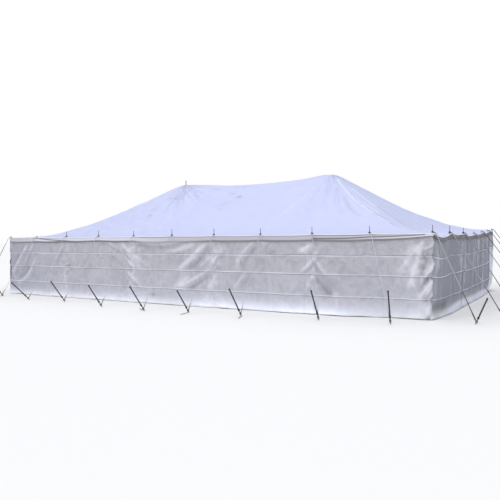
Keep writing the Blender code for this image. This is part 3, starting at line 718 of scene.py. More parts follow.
# The valance: a band of pale proofed canvas 165 mm deep, sewn on under the roof's edge with a tape and bound
# at its foot. It hangs free and a little outwards, rolls over on itself here and there, and is pulled up short
# by the front right corner. On the ends it is narrower and darker. Along the front, painted shade lies under
# the roof's edge, in its tucks and along its foot.
valance_cut = (0.165, 0.105, 0.165, 0.105)
valance_cloth = 0.0012
valance_step = 0.04
valance_rows = 14
valance_flare = 0.02
valance_inset, valance_drop = 0.001, 0.005
pull_from, pull_reach, pull_share = 12.9, 2.0, 0.55
# Its soft swells: how proud, what its depth counts for in metres, size in metres and seed
valance_swells = ((0.010, 0.1, 0.5, 19), (0.006, 0.2, 0.17, 23))
corner_turn = 0.2
# Along the front, by metres from its left end: painted shade at the top, a paler middle, painted shadow at the
# foot
valance_walk = (0.0, 1.4, 1.6, 3.0, 5.8, 6.4, 7.6, 9.0, 11.9, 12.1, 13.4, 13.7, 15.0)
valance_dark_top = (0.3, 0.2, 0.2, 0.0, 0.0, 0.5, 0.4, 0.3, 0.3, 0.7, 0.8, 0.8, 0.7)
valance_pale = (0.0, 0.2, 0.5, 0.55, 0.5, 0.4, 0.1, 0.0, 0.0, 0.1, 0.5, 0.6, 0.7)
valance_dark_foot = (0.4, 0.5, 0.6, 0.65, 0.65, 0.0, 0.0, 0.5, 0.5, 0.5, 0.5, 0.55, 0.55)

# Proofed cotton canvas, woven and waxed: matt light grey with a slight sheen, patchy, with a bound foot of
# 40 mm that is a shade darker, partly as painted shadow under the valance's edge. Painted shade also darkens
# its top and its tucks. Its threads, half a millimetre wide, are drawn at 6 mm, as coarse as they need to show.
canvas, tree, shader, place = new_material("pale proofed canvas")
grime = add_node(tree, "Attribute", attribute_name="soil").outputs["Fac"]
clean = add_node(tree, "Attribute", attribute_name="bleached").outputs["Fac"]
cut = add_node(tree, "SeparateXYZ", {"Vector": place["UV"]}).outputs
patchy = add_node(tree, "TexNoise", {"Vector": place["Object"], "Scale": 1.4, "Detail": 6.0})
# The bound foot, darker partly as painted shadow under the valance
bound = add_node(tree, "MapRange", {"Value": cut["Y"], "From Min": 0.122, "From Max": 0.126})
colour = linear("#b4b3bb")
for layer, code in ((patchy, "#c3c2c9"), (bound, "#a7a6ab"), (grime, "#55534f"), (clean, "#e9ecf6")):
    colour = add_node(tree, "Mix", {0: layer, 6: colour, 7: linear(code)}, data_type="RGBA")
threads = add_node(tree, "TexNoise", {"Vector": place["Object"], "Scale": 160.0, "Detail": 2.0})
weave = add_node(tree, "Bump", {"Height": threads, "Strength": 0.3, "Distance": 0.001})
feed(shader, {"Base Color": colour, "Roughness": 0.9, "Sheen Weight": 0.1, "Normal": weave})


def outward(walked):
    """The level direction out of the tent, turning smoothly over corner_turn each side of a corner."""
    walked = np.asarray(walked, float)
    facing = side_out[on_side(walked)[0]].copy()
    for corner in range(4):
        gap = off_nearest(walked - side_start[corner], round_edge)
        share = np.clip(gap / (2 * corner_turn) + 0.5, 0, 1)[..., None]
        turned_out = side_out[(corner - 1) % 4] * (1 - share) + side_out[corner] * share
        facing = np.where((np.abs(gap) < corner_turn)[..., None], turned_out, facing)
    return facing / np.linalg.norm(facing, axis=-1)[..., None]


def valance_depth(walked):
    """How far the valance hangs: its cut, less where it is pulled up by a corner or ruffled on the ends."""
    side, _ = on_side(walked)
    pulled = ramp(walked, pull_from, pull_reach) * (walked < 15.0)
    ruffled = (side % 2 == 1) * 0.14 * swells(walked, 0 * walked, 0.22, 17)
    rolled = 0.22 * np.exp(-((walked - 6.9) / 0.7) ** 2) - 0.12 * np.exp(-((walked - 4.4) / 1.2) ** 2)
    return np.array(valance_cut)[side] * (1 - pull_share * pulled * pulled) * (1 - ruffled) * (1 + rolled)


for number, side in enumerate(side_names):
    length = 2 * side_half[number]
    walk = side_start[number] + np.linspace(0, length - 0.0005, round(length / valance_step) + 1)
    walked, share = np.meshgrid(walk, np.linspace(0, 1, valance_rows))
    loose = share**1.4 * sum((proud * swells(walked, share * squat, size, seed)
                              for proud, squat, size, seed in valance_swells), valance_flare)
    side_here, along = on_side(walked)
    loose = loose * np.clip((side_half[side_here] - np.abs(along)) / 0.25 + 0.15, 0, 1)
    plan = drawn_in(edge_plan(walked, valance_inset) + outward(walked) * loose[..., None])
    height = edge_height(walked) - valance_drop - share * valance_depth(walked)
    height = height + 0.004 * share * swells(walked, 0 * walked, 0.4, 29)
    points = np.concatenate((plan, height[..., None]), -1)
    flat = np.stack((walked, share * valance_cut[0]), -1)
    if side == "front":
        dark_top, whitened, dark_foot = (np.interp(walked, valance_walk, values) for values in
                                         (valance_dark_top, valance_pale, valance_dark_foot))
        tucked = np.interp(walked, (1.4, 3.0, 3.3, 11.9, 12.0, 14.8), (0.05, 0.75, 0.9, 0.9, 0.62, 0.30))
        lines = ((walked > 1.4) & (walked < 3.3)) * 0.9 + ((walked > 12.0) & (walked < 14.8)) * 0.95
        tuck_line = lines * np.exp(-((share - tucked) / 0.12) ** 2)
        # Painted shade at the top under the roof's edge and painted shadow at the foot, and in each tuck a dark
        # line of painted shade
        soil = dark_top * ramp(share, 0.24, -0.06) + dark_foot * ramp(share, 0.70, 0.06)
        soil = np.maximum(soil, tuck_line)
        bleached = whitened * ramp(share, 0.16, 0.06) * ramp(share, 0.72, -0.06)
        bleached = bleached * (1 - np.clip(tuck_line * 1.3, 0, 1))
    else:
        # The ends are darker below their top edge, the right and left ends far more than the back
        grimed = 1.1 if number % 2 else 0.15
        soil = grimed * (0.8 + 0.3 * swells(walked, share, 0.35, 31)) * np.clip(share / 0.15, 0, 1)
        bleached = 0.3 * np.clip(swells(walked, share, 0.8, 33), 0, 1) * (number % 2 == 0)
    piece = build(f"valance_{side}", [(points, flat)], canvas, closed=False, soil=[soil], bleached=[bleached])
    thicken(piece, valance_cloth)
    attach(piece, "root")
    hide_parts("valance")


# The walls: sixteen curtains of off-white proofed canvas 3 m wide, hung from the eaves rope behind the valance.
# Each is sewn across from four widths, and its start laps over the end of the one before at every second pole.
curtain_width, curtain_lap = 3.0, 0.16
curtain_cloth = 0.0014
curtain_step = {"front": 0.032, "right": 0.030, "back": 0.05, "left": 0.05}
curtain_rows = {"front": 46, "right": 44, "back": 30, "left": 30}
wall_inset, wall_drop, wall_straight, wall_power = 0.012, 0.008, 0.25, 1.2
pleat_width, pleat_depth = 0.37, 0.022
seam_shares = (0.257, 0.497, 0.766)
seam_lines = [seam * eaves_height for seam in seam_shares]
seam_rows = np.array((-0.05, -0.032, -0.022, -0.018, -0.003, 0.0, 0.003, 0.013, 0.017, 0.03)) / 2
ridge_over, ridge_under, ridge_height = 0.06, 0.012, 0.012
# How strong the painted shadow beside each seam and the painted highlight along it are
seam_dirt, seam_pale = 0.40, 0.72
hem_bulges = (0.16, 0.055, 0.16, 0.03)
hem_tucks = ((-0.02, 0.25), (0.10, 0.02), (0.04, 0.06), (0.04, -0.02))
tuck_start, tuck_run = (1.0, 0.1, 1.0, 1.0), (1.3, 1.6, 1.3, 1.3)
corner_round = (0.15, 0.32, 0.22, 0.4)
far_lift, far_reach, flap_swell = 0.30, 1.8, 0.06
# A wall's soft swells: how proud, what its height counts for, size in metres and seed; and its crumples all
# over, at the laps and by the front right corner: how proud, size and seed
wall_swells = ((0.016, 0.6, 0.75, 51), (0.006, 1.0, 0.3, 52))
wall_crumples = ((0.009, 0.42, 56), (0.006, 0.19, 58), (0.004, 0.1, 60))
lap_crumple, corner_crumple = (0.026, 0.12, 63), (0.028, 0.2, 65)
hem_dirt, corner_dirt, left_dirt = 0.45, 0.45, 0.12
# How strong the painted light is on the sunlit foot of the front and lower on its right half
sunlit_pale, low_pale = 0.26, 0.08
# Folds of the front wall: start, middle and end as x and height in metres, width at both ends, and how proud
front_folds = (
    (-6.42, 1.82, -6.86, 1.28, -7.32, 0.70, 0.03, 0.06, 0.036),
    (-6.62, 1.78, -7.05, 1.26, -7.42, 0.90, 0.03, 0.06, -0.024),
    (-6.12, 1.84, -6.43, 1.32, -6.68, 0.90, 0.03, 0.05, 0.036),
    (-6.22, 1.60, -6.52, 1.10, -6.80, 0.72, 0.04, 0.07, -0.034),
    (-6.02, 1.30, -6.44, 0.68, -7.10, 0.36, 0.03, 0.06, 0.036),
    (-6.30, 1.05, -6.62, 0.72, -7.00, 0.54, 0.04, 0.08, -0.036),
    (-7.44, 1.30, -7.30, 0.85, -7.02, 0.50, 0.02, 0.04, 0.018),
    (-4.60, 1.86, -4.90, 1.40, -5.22, 0.96, 0.03, 0.06, 0.020),
    (-4.52, 1.80, -4.78, 1.36, -5.08, 0.96, 0.03, 0.06, -0.026),
    (-4.34, 1.70, -4.20, 1.40, -4.00, 1.16, 0.03, 0.05, 0.016),
    (-4.44, 1.50, -4.28, 1.24, -4.10, 1.04, 0.03, 0.04, -0.018),
    (-4.50, 0.92, -4.46, 0.60, -4.32, 0.32, 0.03, 0.04, 0.026),
    (-4.40, 0.96, -4.34, 0.66, -4.20, 0.42, 0.03, 0.04, -0.022),
    (-2.72, 1.80, -2.11, 1.49, -1.62, 1.16, 0.025, 0.045, -0.026),
    (-2.60, 1.84, -2.04, 1.56, -1.56, 1.24, 0.025, 0.045, 0.028),
    (-2.46, 1.44, -2.08, 1.22, -1.70, 1.00, 0.03, 0.04, -0.018),
    (-1.98, 1.82, -1.70, 1.62, -1.40, 1.44, 0.03, 0.04, 0.024),
    (-1.70, 1.48, -1.36, 1.22, -1.05, 1.02, 0.03, 0.045, 0.028),
    (-1.64, 1.24, -1.46, 1.08, -1.28, 0.94, 0.025, 0.04, 0.026),
    (-1.76, 1.30, -1.58, 1.12, -1.40, 0.96, 0.02, 0.03, -0.024),
    (-1.74, 1.00, -1.33, 0.68, -0.98, 0.42, 0.03, 0.05, 0.030),
    (-1.62, 0.80, -1.36, 0.58, -1.14, 0.42, 0.03, 0.05, -0.026),
    (-1.46, 1.86, -0.55, 1.78, 0.55, 1.86, 0.03, 0.04, 0.034),
    (-1.34, 1.78, -0.50, 1.66, 0.45, 1.77, 0.04, 0.05, -0.028),
    (-0.30, 1.54, 0.35, 1.66, 1.00, 1.86, 0.04, 0.06, 0.026),
    (1.30, 1.84, 0.80, 1.36, 0.20, 1.00, 0.04, 0.07, 0.044),
    (1.36, 1.70, 0.98, 1.26, 0.46, 0.98, 0.04, 0.07, -0.040),
    (1.52, 1.12, 0.87, 0.77, 0.18, 0.46, 0.04, 0.06, 0.044),
    (1.50, 0.96, 1.02, 0.64, 0.55, 0.42, 0.04, 0.07, -0.044),
    (1.48, 1.00, 1.15, 0.66, 0.93, 0.46, 0.03, 0.04, 0.024),
    (1.42, 1.42, 1.20, 1.24, 1.00, 1.04, 0.025, 0.04, 0.024),
    (1.86, 1.68, 1.60, 1.38, 1.28, 1.06, 0.015, 0.03, 0.018),
    (1.96, 1.56, 1.70, 1.28, 1.40, 0.96, 0.015, 0.03, -0.018),
    (1.82, 1.38, 1.64, 1.18, 1.42, 0.98, 0.015, 0.03, 0.018),
    (1.62, 1.80, 1.44, 1.62, 1.22, 1.50, 0.02, 0.03, -0.018),
    (1.58, 0.90, 1.50, 0.66, 1.36, 0.44, 0.02, 0.04, 0.020),
    (2.82, 1.84, 2.48, 1.52, 2.24, 1.06, 0.03, 0.06, 0.032),
    (2.94, 1.74, 2.62, 1.40, 2.42, 1.06, 0.03, 0.06, -0.032),
    (2.62, 1.04, 2.42, 0.80, 2.20, 0.50, 0.03, 0.05, 0.026),
    (2.76, 1.00, 2.56, 0.74, 2.36, 0.48, 0.03, 0.05, -0.024),
    (3.06, 1.82, 3.22, 1.70, 3.44, 1.56, 0.03, 0.05, 0.022),
    (3.14, 1.56, 3.60, 1.44, 4.08, 1.54, 0.02, 0.03, -0.024),
    (3.10, 1.62, 3.60, 1.51, 4.10, 1.60, 0.02, 0.03, 0.018),
    (4.54, 1.76, 4.30, 1.64, 4.04, 1.54, 0.03, 0.04, 0.024),
    (4.70, 1.64, 4.52, 1.31, 4.14, 1.02, 0.025, 0.05, 0.040),
    (4.74, 1.44, 4.50, 1.16, 4.24, 0.96, 0.025, 0.04, -0.034),
    (4.60, 1.50, 4.80, 1.12, 5.02, 0.94, 0.025, 0.05, 0.040),
    (4.54, 1.34, 4.72, 1.08, 4.92, 0.90, 0.025, 0.04, -0.030),
    (4.60, 1.02, 4.44, 0.76, 4.28, 0.50, 0.025, 0.05, 0.036),
    (4.54, 0.90, 4.38, 0.68, 4.20, 0.50, 0.025, 0.04, -0.026),
    (4.62, 0.96, 4.86, 0.66, 5.12, 0.44, 0.03, 0.07, -0.038),
    (4.80, 0.94, 5.04, 0.66, 5.32, 0.42, 0.03, 0.06, 0.034),
    (4.60, 1.30, 4.58, 1.05, 4.62, 0.80, 0.02, 0.03, 0.020),
    (-2.67, 1.76, -1.74, 1.29, -0.90, 0.98, 0.03, 0.05, 0.026),
    (-2.00, 1.73, -1.33, 1.38, -0.79, 1.05, 0.03, 0.05, 0.028),
    (-2.30, 1.69, -1.56, 1.29, -0.96, 0.98, 0.03, 0.04, -0.030),
    (1.12, 1.75, 0.69, 1.32, 0.24, 0.95, 0.04, 0.06, 0.030),
    (0.87, 1.73, 0.34, 1.59, -0.06, 1.50, 0.03, 0.06, 0.026),
    (0.74, 0.88, 0.39, 0.64, 0.11, 0.50, 0.04, 0.06, 0.028),
    (4.55, 1.77, 4.39, 1.66, 4.16, 1.53, 0.04, 0.06, 0.040),
    (3.14, 1.73, 3.36, 1.58, 3.62, 1.49, 0.03, 0.05, -0.030),
    (4.79, 0.95, 4.99, 0.71, 5.18, 0.51, 0.06, 0.09, -0.040),
    (7.26, 1.84, 7.09, 1.22, 6.84, 0.64, 0.035, 0.055, 0.044),
    (7.38, 1.56, 7.26, 1.18, 7.08, 0.86, 0.025, 0.045, -0.046),
    (7.56, 1.36, 7.36, 1.08, 7.16, 0.84, 0.025, 0.04, 0.046),
    (7.54, 1.18, 7.32, 0.90, 7.10, 0.66, 0.025, 0.04, -0.044),
    (7.58, 1.00, 7.32, 0.72, 7.10, 0.42, 0.025, 0.045, 0.048),
    (7.54, 0.74, 7.38, 0.54, 7.22, 0.38, 0.025, 0.035, -0.036),
    (7.56, 1.80, 7.40, 1.68, 7.24, 1.62, 0.02, 0.03, 0.040),
    (7.50, 1.70, 7.36, 1.60, 7.20, 1.56, 0.02, 0.03, -0.030),
    (7.60, 1.50, 7.38, 1.47, 7.16, 1.42, 0.02, 0.03, -0.054),
    (7.60, 1.00, 7.40, 0.98, 7.20, 0.92, 0.02, 0.03, -0.050),
    (7.60, 0.50, 7.44, 0.48, 7.30, 0.42, 0.02, 0.03, -0.050),
)
# Dirt on the front wall: place as x and height, half length and half width in metres, and strength
front_marks = (
    (-4.36, 1.05, 0.14, 0.025, 0.6), (-4.30, 1.10, 0.03, 0.06, 0.4), (-0.60, 0.30, 0.03, 0.12, 0.45),
    (-0.60, 0.26, 0.10, 0.03, 0.45), (7.42, 0.03, 0.12, 0.07, 0.7), (-0.20, 0.22, 0.5, 0.12, 0.10),
    (-3.60, 0.30, 0.9, 0.16, 0.08), (0.80, 0.25, 0.7, 0.12, 0.08),
)

# Proofed canvas, off-white and matt: mottled, with painted highlight on the crests of its fine wrinkles, grey
# on the right end partly with age and partly as painted shade, paler towards the foot, and darker where dirt
# ran down it. Painted shade lies in the hollows of its creases and beside its seams, painted highlight on the
# crests and along the seams, and painted light on the sunlit foot of the front and on strips and the skirt of
# the right end. Its threads, half a millimetre wide, are drawn at 7 mm, as coarse as they need to show, and
# crumples cover it all over.
proofed, tree, shader, place = new_material("off-white proofed canvas")
aged, stitched, washed, crease, grime = (add_node(tree, "Attribute", attribute_name=layer).outputs["Fac"]
                                         for layer in ("aged", "stitched", "washed", "crease", "soil"))
cut = add_node(tree, "SeparateXYZ", {"Vector": place["UV"]}).outputs
mottle = add_node(tree, "TexNoise", {"Vector": place["Object"], "Scale": 1.1, "Detail": 7.0, "Roughness": 0.6})
wrinkles = add_node(tree, "TexNoise", {"Vector": place["Object"], "Scale": 3.6, "Detail": 6.0, "Roughness": 0.6,
                                       "Lacunarity": 2.1, "Offset": 1.0, "Gain": 2.0, "Distortion": 0.6},
                    noise_type="RIDGED_MULTIFRACTAL")
# Painted highlight on the crests of the fine wrinkles, mixed evenly with the mottle into the lighter tone
crest = add_node(tree, "MapRange", {"Value": wrinkles, "From Min": 0.6, "From Max": 2.2})
even = add_node(tree, "Mix", {0: 0.5, 2: mottle, 3: crest}, data_type="FLOAT")
streak_place = add_node(tree, "Mapping", {"Vector": place["Object"], "Scale": (9.0, 3.6, 0.35)})
streaks = add_node(tree, "TexNoise", {"Vector": streak_place, "Scale": 1.0, "Detail": 4.0})
run_down = add_node(tree, "MapRange", {"Value": streaks, "From Min": 0.52, "From Max": 0.75, "To Max": 0.09})
drawn = add_node(tree, "Math", {0: aged, 1: 2.6, 2: 1.0}, operation="MULTIPLY_ADD")
run_share = add_node(tree, "Math", {0: run_down, 1: drawn}, operation="MULTIPLY", use_clamp=True)
bare = add_node(tree, "MapRange", {"Value": streaks, "From Min": 0.47, "From Max": 0.3, "To Max": 0.8})
bare_share = add_node(tree, "Math", {0: bare, 1: aged}, operation="MULTIPLY", use_clamp=True)
skirt = add_node(tree, "MapRange", {"Value": cut["Y"], "From Min": 1.50, "From Max": 1.99})
uneven = add_node(tree, "Math", {0: mottle, 1: 0.5}, operation="SUBTRACT")
ragged = add_node(tree, "Math", {0: uneven, 1: 0.35, 2: skirt}, operation="MULTIPLY_ADD", use_clamp=True)
rising = add_node(tree, "Math", {0: ragged, 1: 3.3}, operation="POWER")
# Painted shade in the hollows of the creases and painted highlight on their crests
hollow = add_node(tree, "MapRange", {"Value": crease, "From Max": -1.0, "To Max": 0.65})
rubbed = add_node(tree, "MapRange", {"Value": crease, "From Min": 0.05, "To Max": 0.62})
blotched = add_node(tree, "MapRange", {"Value": mottle, "From Min": 0.3, "From Max": 0.6,
                                       "To Min": 0.4, "To Max": 1.2})
# Dirt, with painted shadow beside the seams, darkens the cloth
dirt = add_node(tree, "Math", {0: grime, 1: blotched}, operation="MULTIPLY", use_clamp=True)
colour = linear("#a5a4ac")
for layer, code in ((even, "#c7c6ce"), (aged, "#91929d"), (run_share, "#7d7a84"), (bare_share, "#adb1c9"),
                    (rising, "#fcfdff"), (stitched, "#f0f1fb"), (washed, "#eef1ff"), (hollow, "#8b8b93"),
                    (rubbed, "#efeff7"), (dirt, "#55534f")):
    colour = add_node(tree, "Mix", {0: layer, 6: colour, 7: linear(code)}, data_type="RGBA")
threads = add_node(tree, "TexNoise", {"Vector": place["Object"], "Scale": 150.0, "Detail": 2.0})
creased = add_node(tree, "TexNoise", {"Vector": place["Object"], "Scale": 7.0, "Detail": 8.0,
                                      "Roughness": 0.65})
crumpled = add_node(tree, "Math", {0: creased, 1: 12.0, 2: threads}, operation="MULTIPLY_ADD")
relief = add_node(tree, "Math", {0: wrinkles, 1: 5.0, 2: crumpled}, operation="MULTIPLY_ADD")
weave = add_node(tree, "Bump", {"Height": relief, "Strength": 0.8, "Distance": 0.0026})
feed(shader, {"Base Color": colour, "Roughness": 0.88, "Sheen Weight": 0.1, "Normal": weave})


def hem_distance(side, along):
    """How far out a wall's foot stands: a parabola from the side line, tucked in by a cubic at its ends."""
    half = side_half[side]
    distance = side_reach[side] + hem_bulges[side] * (1 - (along / half) ** 2)
    for tuck, to_corner in zip(hem_tucks[side], (half + along, half - along)):
        step = ramp(to_corner, tuck_start[side], tuck_run[side])
        distance = distance - tuck * (1 - step * step * (3 - 2 * step))
    return distance


def hem_plan(walked):
    """The foot of the walls in plan, with a quadratic curve round each corner."""
    plan = np.zeros((*np.shape(walked), 2))
    side_here, along_here = on_side(walked)
    for side in range(4):
        on = side_here == side
        along = along_here[on]
        plan[on] = side_run[side] * along[:, None] + side_out[side] * hem_distance(side, along)[:, None]
    for corner, reach in enumerate(corner_round):
        before = (corner - 1) % 4
        gap = off_nearest(walked - side_start[corner], round_edge)
        near = np.abs(gap) < reach
        end_along, start_along = side_half[before] - reach, reach - side_half[corner]
        first = side_run[before] * end_along + side_out[before] * hem_distance(before, end_along)
        last = side_run[corner] * start_along + side_out[corner] * hem_distance(corner, start_along)
        square = (side_run[before] * hem_distance(corner, -side_half[corner])
                  + side_out[before] * hem_distance(before, side_half[before]))
        step = (0.5 * (gap[near] / reach + 1))[:, None]
        plan[near] = first * (1 - step) ** 2 + square * 2 * step * (1 - step) + last * step**2
    return plan


def seam_ridge(below_top):
    """Cross seams: the cloth swells out over ridge_over to each line and falls back in ridge_under below it."""
    proud = np.zeros_like(below_top)
    for line in seam_lines:
        over = below_top - line
        proud += ridge_height * np.where(over < 0, np.clip(1 + over / ridge_over, 0, 1) ** 2,
                                         np.clip(1 - over / ridge_under, 0, 1))
    return proud


def band(below_top, line, low, high):
    """A band of cloth along a seam line: true from low to high, in metres down from the line."""
    return (below_top > line + low) * (below_top < line + high)


def creases(x, y, size, seed):
    """Crumpled cloth from 0 to 1: sharp crests where smooth swells, drawn out of square, pass through zero."""
    drawn = swells(x + 0.4 * y, 0.6 * y, size, seed) + 0.4 * swells(x - 0.7 * y, y, 0.6 * size, seed + 1)
    return 1 - np.clip(np.abs(drawn) * 2.2, 0, 1)


# By the poles of the other walls hang folds of their own: three at each pole of the right end, else five.
chance = np.random.default_rng(7)
wall_folds = [np.add(row, (half_long, 0, half_long, 0, half_long, 0, 0, 0, 0)) for row in front_folds]
for pole in np.arange(side_start[1], round_edge, bay):
    for _ in range(3 if pole < side_start[2] else 5):
        lean = chance.choice((-1, 1))
        x0, z0 = pole + lean * chance.uniform(0.02, 0.3), chance.uniform(0.6, 1.85)
        drop = chance.uniform(0.3, 0.9)
        x1, z1 = x0 + lean * drop * chance.uniform(0.4, 1.1), max(0.1, z0 - drop)
        proud = chance.choice((-1, 1)) * chance.uniform(0.014, 0.034)
        xm, zm = (x0 + x1) / 2 + chance.uniform(-0.06, 0.06), (z0 + z1) / 2
        wall_folds.append((x0, z0, xm, zm, x1, z1, 0.03, 0.07, proud))

for curtain in range(round(round_edge / curtain_width)):
    start = curtain * curtain_width
    number, _ = on_side(np.array(start + 0.5))
    side = side_names[number]
    order = round((start - side_start[number]) / curtain_width) + 1
    on_front, on_right = side == "front", side == "right"

    # Its grid has closer rows at the seams. The last front curtain ends at the corner, and its free edge is
    # drawn out between the seams.
    last = 0.0 if on_front and order == 5 else curtain_lap * 0.6
    first = 0.002 if on_right and order == 1 else curtain_lap
    columns = round((curtain_width + 1.6 * curtain_lap) / curtain_step[side])
    walk = np.linspace(start - first, start + curtain_width + last, columns)
    shares = np.linspace(0, 1, curtain_rows[side])
    for seam in seam_shares:
        shares = shares[np.abs(shares - seam) > 0.026]
    shares = np.sort(np.concatenate((shares, *(seam + seam_rows for seam in seam_shares), (0.992,))))
    walked, share = np.meshgrid(walk, shares)
    if last == 0.0:
        tied = sum(np.exp(-((share - seam) / 0.03) ** 2) for seam in (0.02, *seam_shares, 1.0))
        walked = walked + (0.045 - 0.075 * tied) * ramp(walked - start, 2.5, 0.5) ** 2
    across, below = walked - start, share * eaves_height
    past_near = walked - side_start[1]
    from_near, from_far = past_near * on_right, side_start[2] - walked

    # The plain cloth hangs from the edge and runs out to the hem.
    top = edge_height(walked) - wall_drop
    height = top * (1 - share)
    reach = np.clip(1 - height / (top - wall_straight), 0, 1) ** wall_power
    plan = edge_plan(walked, wall_inset) * (1 - reach)[..., None] + hem_plan(walked) * reach[..., None]

    # Folds, soft swells and crumples stand out from it, with upright pleats on the ends and puckers at seams.
    hung = ramp(share, 0.04, 0.15)
    folds = np.zeros_like(height)
    for *place_here, wide0, wide1, proud in wall_folds:
        if abs(place_here[2] - start - curtain_width / 2) < curtain_width / 2 + 1.2:
            folds += fold(walked, height, place_here, (wide0, wide1), proud)
    loose = folds + hung * sum(proud * swells(walked, height * squat, size, seed)
                               for proud, squat, size, seed in wall_swells)
    laced = np.exp(-(off_nearest(walked, curtain_width) / 0.3) ** 2)
    crumpled = hung * np.clip(0.55 + 0.7 * swells(walked, height, 0.8, 55) + 0.6 * laced, 0.15, 1.6)
    crumple = crumpled * sum(proud * creases(walked, height, size, seed) for proud, size, seed in wall_crumples)
    by_lap = np.exp(-(off_nearest(walked - curtain_lap / 2, curtain_width) / 0.19) ** 2)
    by_corner = ramp(past_near, -0.9, 0.7) * on_front
    for near_it, (proud, size, seed) in ((by_lap, lap_crumple), (by_corner, corner_crumple)):
        crumple += proud * hung * near_it * creases(walked, height, size, seed)
    loose += crumple
    fine = np.zeros_like(height)
    if side in ("left", "right"):
        shown = np.clip(1.1 - share, 0.25, 1) * np.clip(share / 0.08, 0, 1)
        shown = shown * (0.2 + 0.8 * ramp(walked - side_start[number], 2.0, 3.0))
        fine = np.sin(2 * np.pi * walked / pleat_width + 4.0 * swells(walked, height * 0.2, 0.6, 61))
        fine = shown * (0.7 + 0.6 * swells(walked, height * 0.1, 0.8, 62)) * fine
        loose += pleat_depth * fine
    pucker = sum(np.exp(-((share - seam) * 2 / 0.06) ** 2) for seam in seam_shares)
    loose += 0.004 * pucker * swells(walked, height * 0.3, 0.06, 67)
    loose += seam_ridge(below)

    # It stays outside the poles, laps over the curtain before it and under the next, and its far end is a loose
    # flap that swells out, with the hem lifted off the ground.
    by_pole = np.exp(-(off_nearest(walked, bay) / 0.07) ** 2)
    on_pole, off_pole = 0.005 - 0.10 * np.clip(share - 0.25, 0, 1), -0.010 - 0.12 * share
    loose = np.maximum(loose, on_pole * by_pole + off_pole * (1 - by_pole))
    outer = 0.005 if first == curtain_lap else -0.012
    loose += outer * ramp(across, 0.3, -0.25) - 0.005 * ramp(across - curtain_width, -0.3, 0.25)
    flap = np.clip(1 - from_far / 2.0, 0, 1) * (from_far > 0) * on_right
    loose += flap_swell * np.sin(np.pi * flap) * np.sin(np.pi * share) ** 0.7
    plan = drawn_in(plan + outward(walked) * loose[..., None])
    lift = 0.008 * share**6 * (1 + swells(walked, 0 * walked, 0.35, 71)) + 0.0015
    lift = lift + far_lift * share**5 * np.clip(1 - np.abs(from_far) / far_reach, 0, 1) ** 1.5
    points = np.concatenate((plan, (height + lift)[..., None]), -1)
    flat = np.stack((across, below), -1)

    # Dirt lies along the hem and in marks on the front and by the near corner, and painted shadow in a line
    # beside each seam.
    soil = hem_dirt * ramp(share, 0.99, 0.004) * (0.7 + 0.5 * swells(walked, share, 0.3, 73))
    soil += seam_dirt * sum(band(below, line, 0.0029, 0.0171) for line in seam_lines[1:])
    soil += seam_dirt * band(below, seam_lines[0], -0.0181, -0.0029)
    if on_front:
        soil += left_dirt * np.clip(1 - walked / 3.4, 0, 1) * np.exp(-((share - 0.86) / 0.07) ** 2)
        for mark_x, mark_z, long, tall, strength in front_marks:
            off_mark = ((walked - half_long - mark_x) / long) ** 2 + ((height - mark_z) / tall) ** 2
            soil += strength * np.exp(-off_mark)
    if on_right:
        soil += corner_dirt * ramp(from_near, 1.25, -0.2) * np.exp(-((share - 0.85) / 0.055) ** 2)

    # Painted highlight lies along each seam, and painted light on the sunlit foot of the front and lower on its
    # right half. On the right end painted light lies on the strips by both corners and on the skirt; the rest
    # of its cloth is grey, partly with age and partly as painted shade.
    stitched = seam_pale * sum(band(below, line, -0.0181, 0.001) for line in seam_lines[1:])
    stitched = stitched + seam_pale * band(below, seam_lines[0], -0.001, 0.0171)
    stitched = stitched * (0.8 + 0.5 * swells(walked, share, 0.5, 75))
    sunlit = ramp(walked, 4.0, 7.0) * ramp(share, 0.78, 0.16) * on_front
    lit_low = ramp(walked, 4.0, 5.0) * ramp(share, 0.35, 0.3) * on_front
    stitched = np.maximum(stitched, sunlit_pale * sunlit + low_pale * lit_low)
    # Painted light on a strip by the near corner, on the swelling far flap and on the skirt of the right end
    near_strip = ramp(past_near, 0.5, -0.3) * on_right
    far_strip = ramp(flap, 0.25, 0.05) * (0.8 + 0.3 * swells(walked, height, 0.4, 77))
    far_strip = far_strip * ramp(share, 0.22, 0.14)
    skirt_top = 0.91 - 0.05 * np.clip(from_near / 4.0, 0, 1) + 0.03 * swells(walked, 0 * walked, 0.9, 79)
    skirting = (ramp(share, skirt_top, 0.06) + 0.05 * ramp(share, 0.80, 0.1)) * ramp(from_near, 0.3, 1.2)
    paled = np.clip(0.1 * near_strip + 0.95 * far_strip + 0.95 * skirting, 0, 1)
    # Grey, partly with age and partly as painted shade: the right end, the hidden left end and the left end of
    # the front
    aged = (0.3 * (side == "left") + (0.98 - 0.2 * np.clip(1.6 - from_near, 0, 1)) * on_right
            + 0.45 * np.clip(1 - walked / 3.2, 0, 1) * on_front)
    # Painted shade in the hollows and painted highlight on the crests of the folds, the end pleats and the
    # crumples
    shading = np.clip(folds / 0.044, -1, 1) + 1.1 * fine * on_right + 24.0 * (crumple - crumple.mean())
    piece = build(f"wall_{side}_curtain_{order}", [(points, flat)], proofed, closed=False, soil=[soil],
                  stitched=[stitched], washed=[paled], aged=[aged * (1 - paled)],
                  crease=[shading * (1 - 0.5 * pucker)])
    thicken(piece, curtain_cloth)
    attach(piece, "root")
    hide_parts(f"wall_{side}")


# The pegs: 32 forged steel stakes driven in on the slant, with a mushroomed head, a collar that keeps the rope
# down and a rusty taper where they enter the ground.
peg_radius, tallest_peg = 0.0165, 1.2
peg_profile = ((0.0, 0.62), (0.16, 0.72), (0.20, 0.95), (0.215, 1.5), (0.235, 1.6), (0.255, 1.5), (0.27, 1.0),
               (0.60, 1.0), (0.955, 1.0), (0.965, 1.2), (0.985, 1.32), (1.0, 1.15))

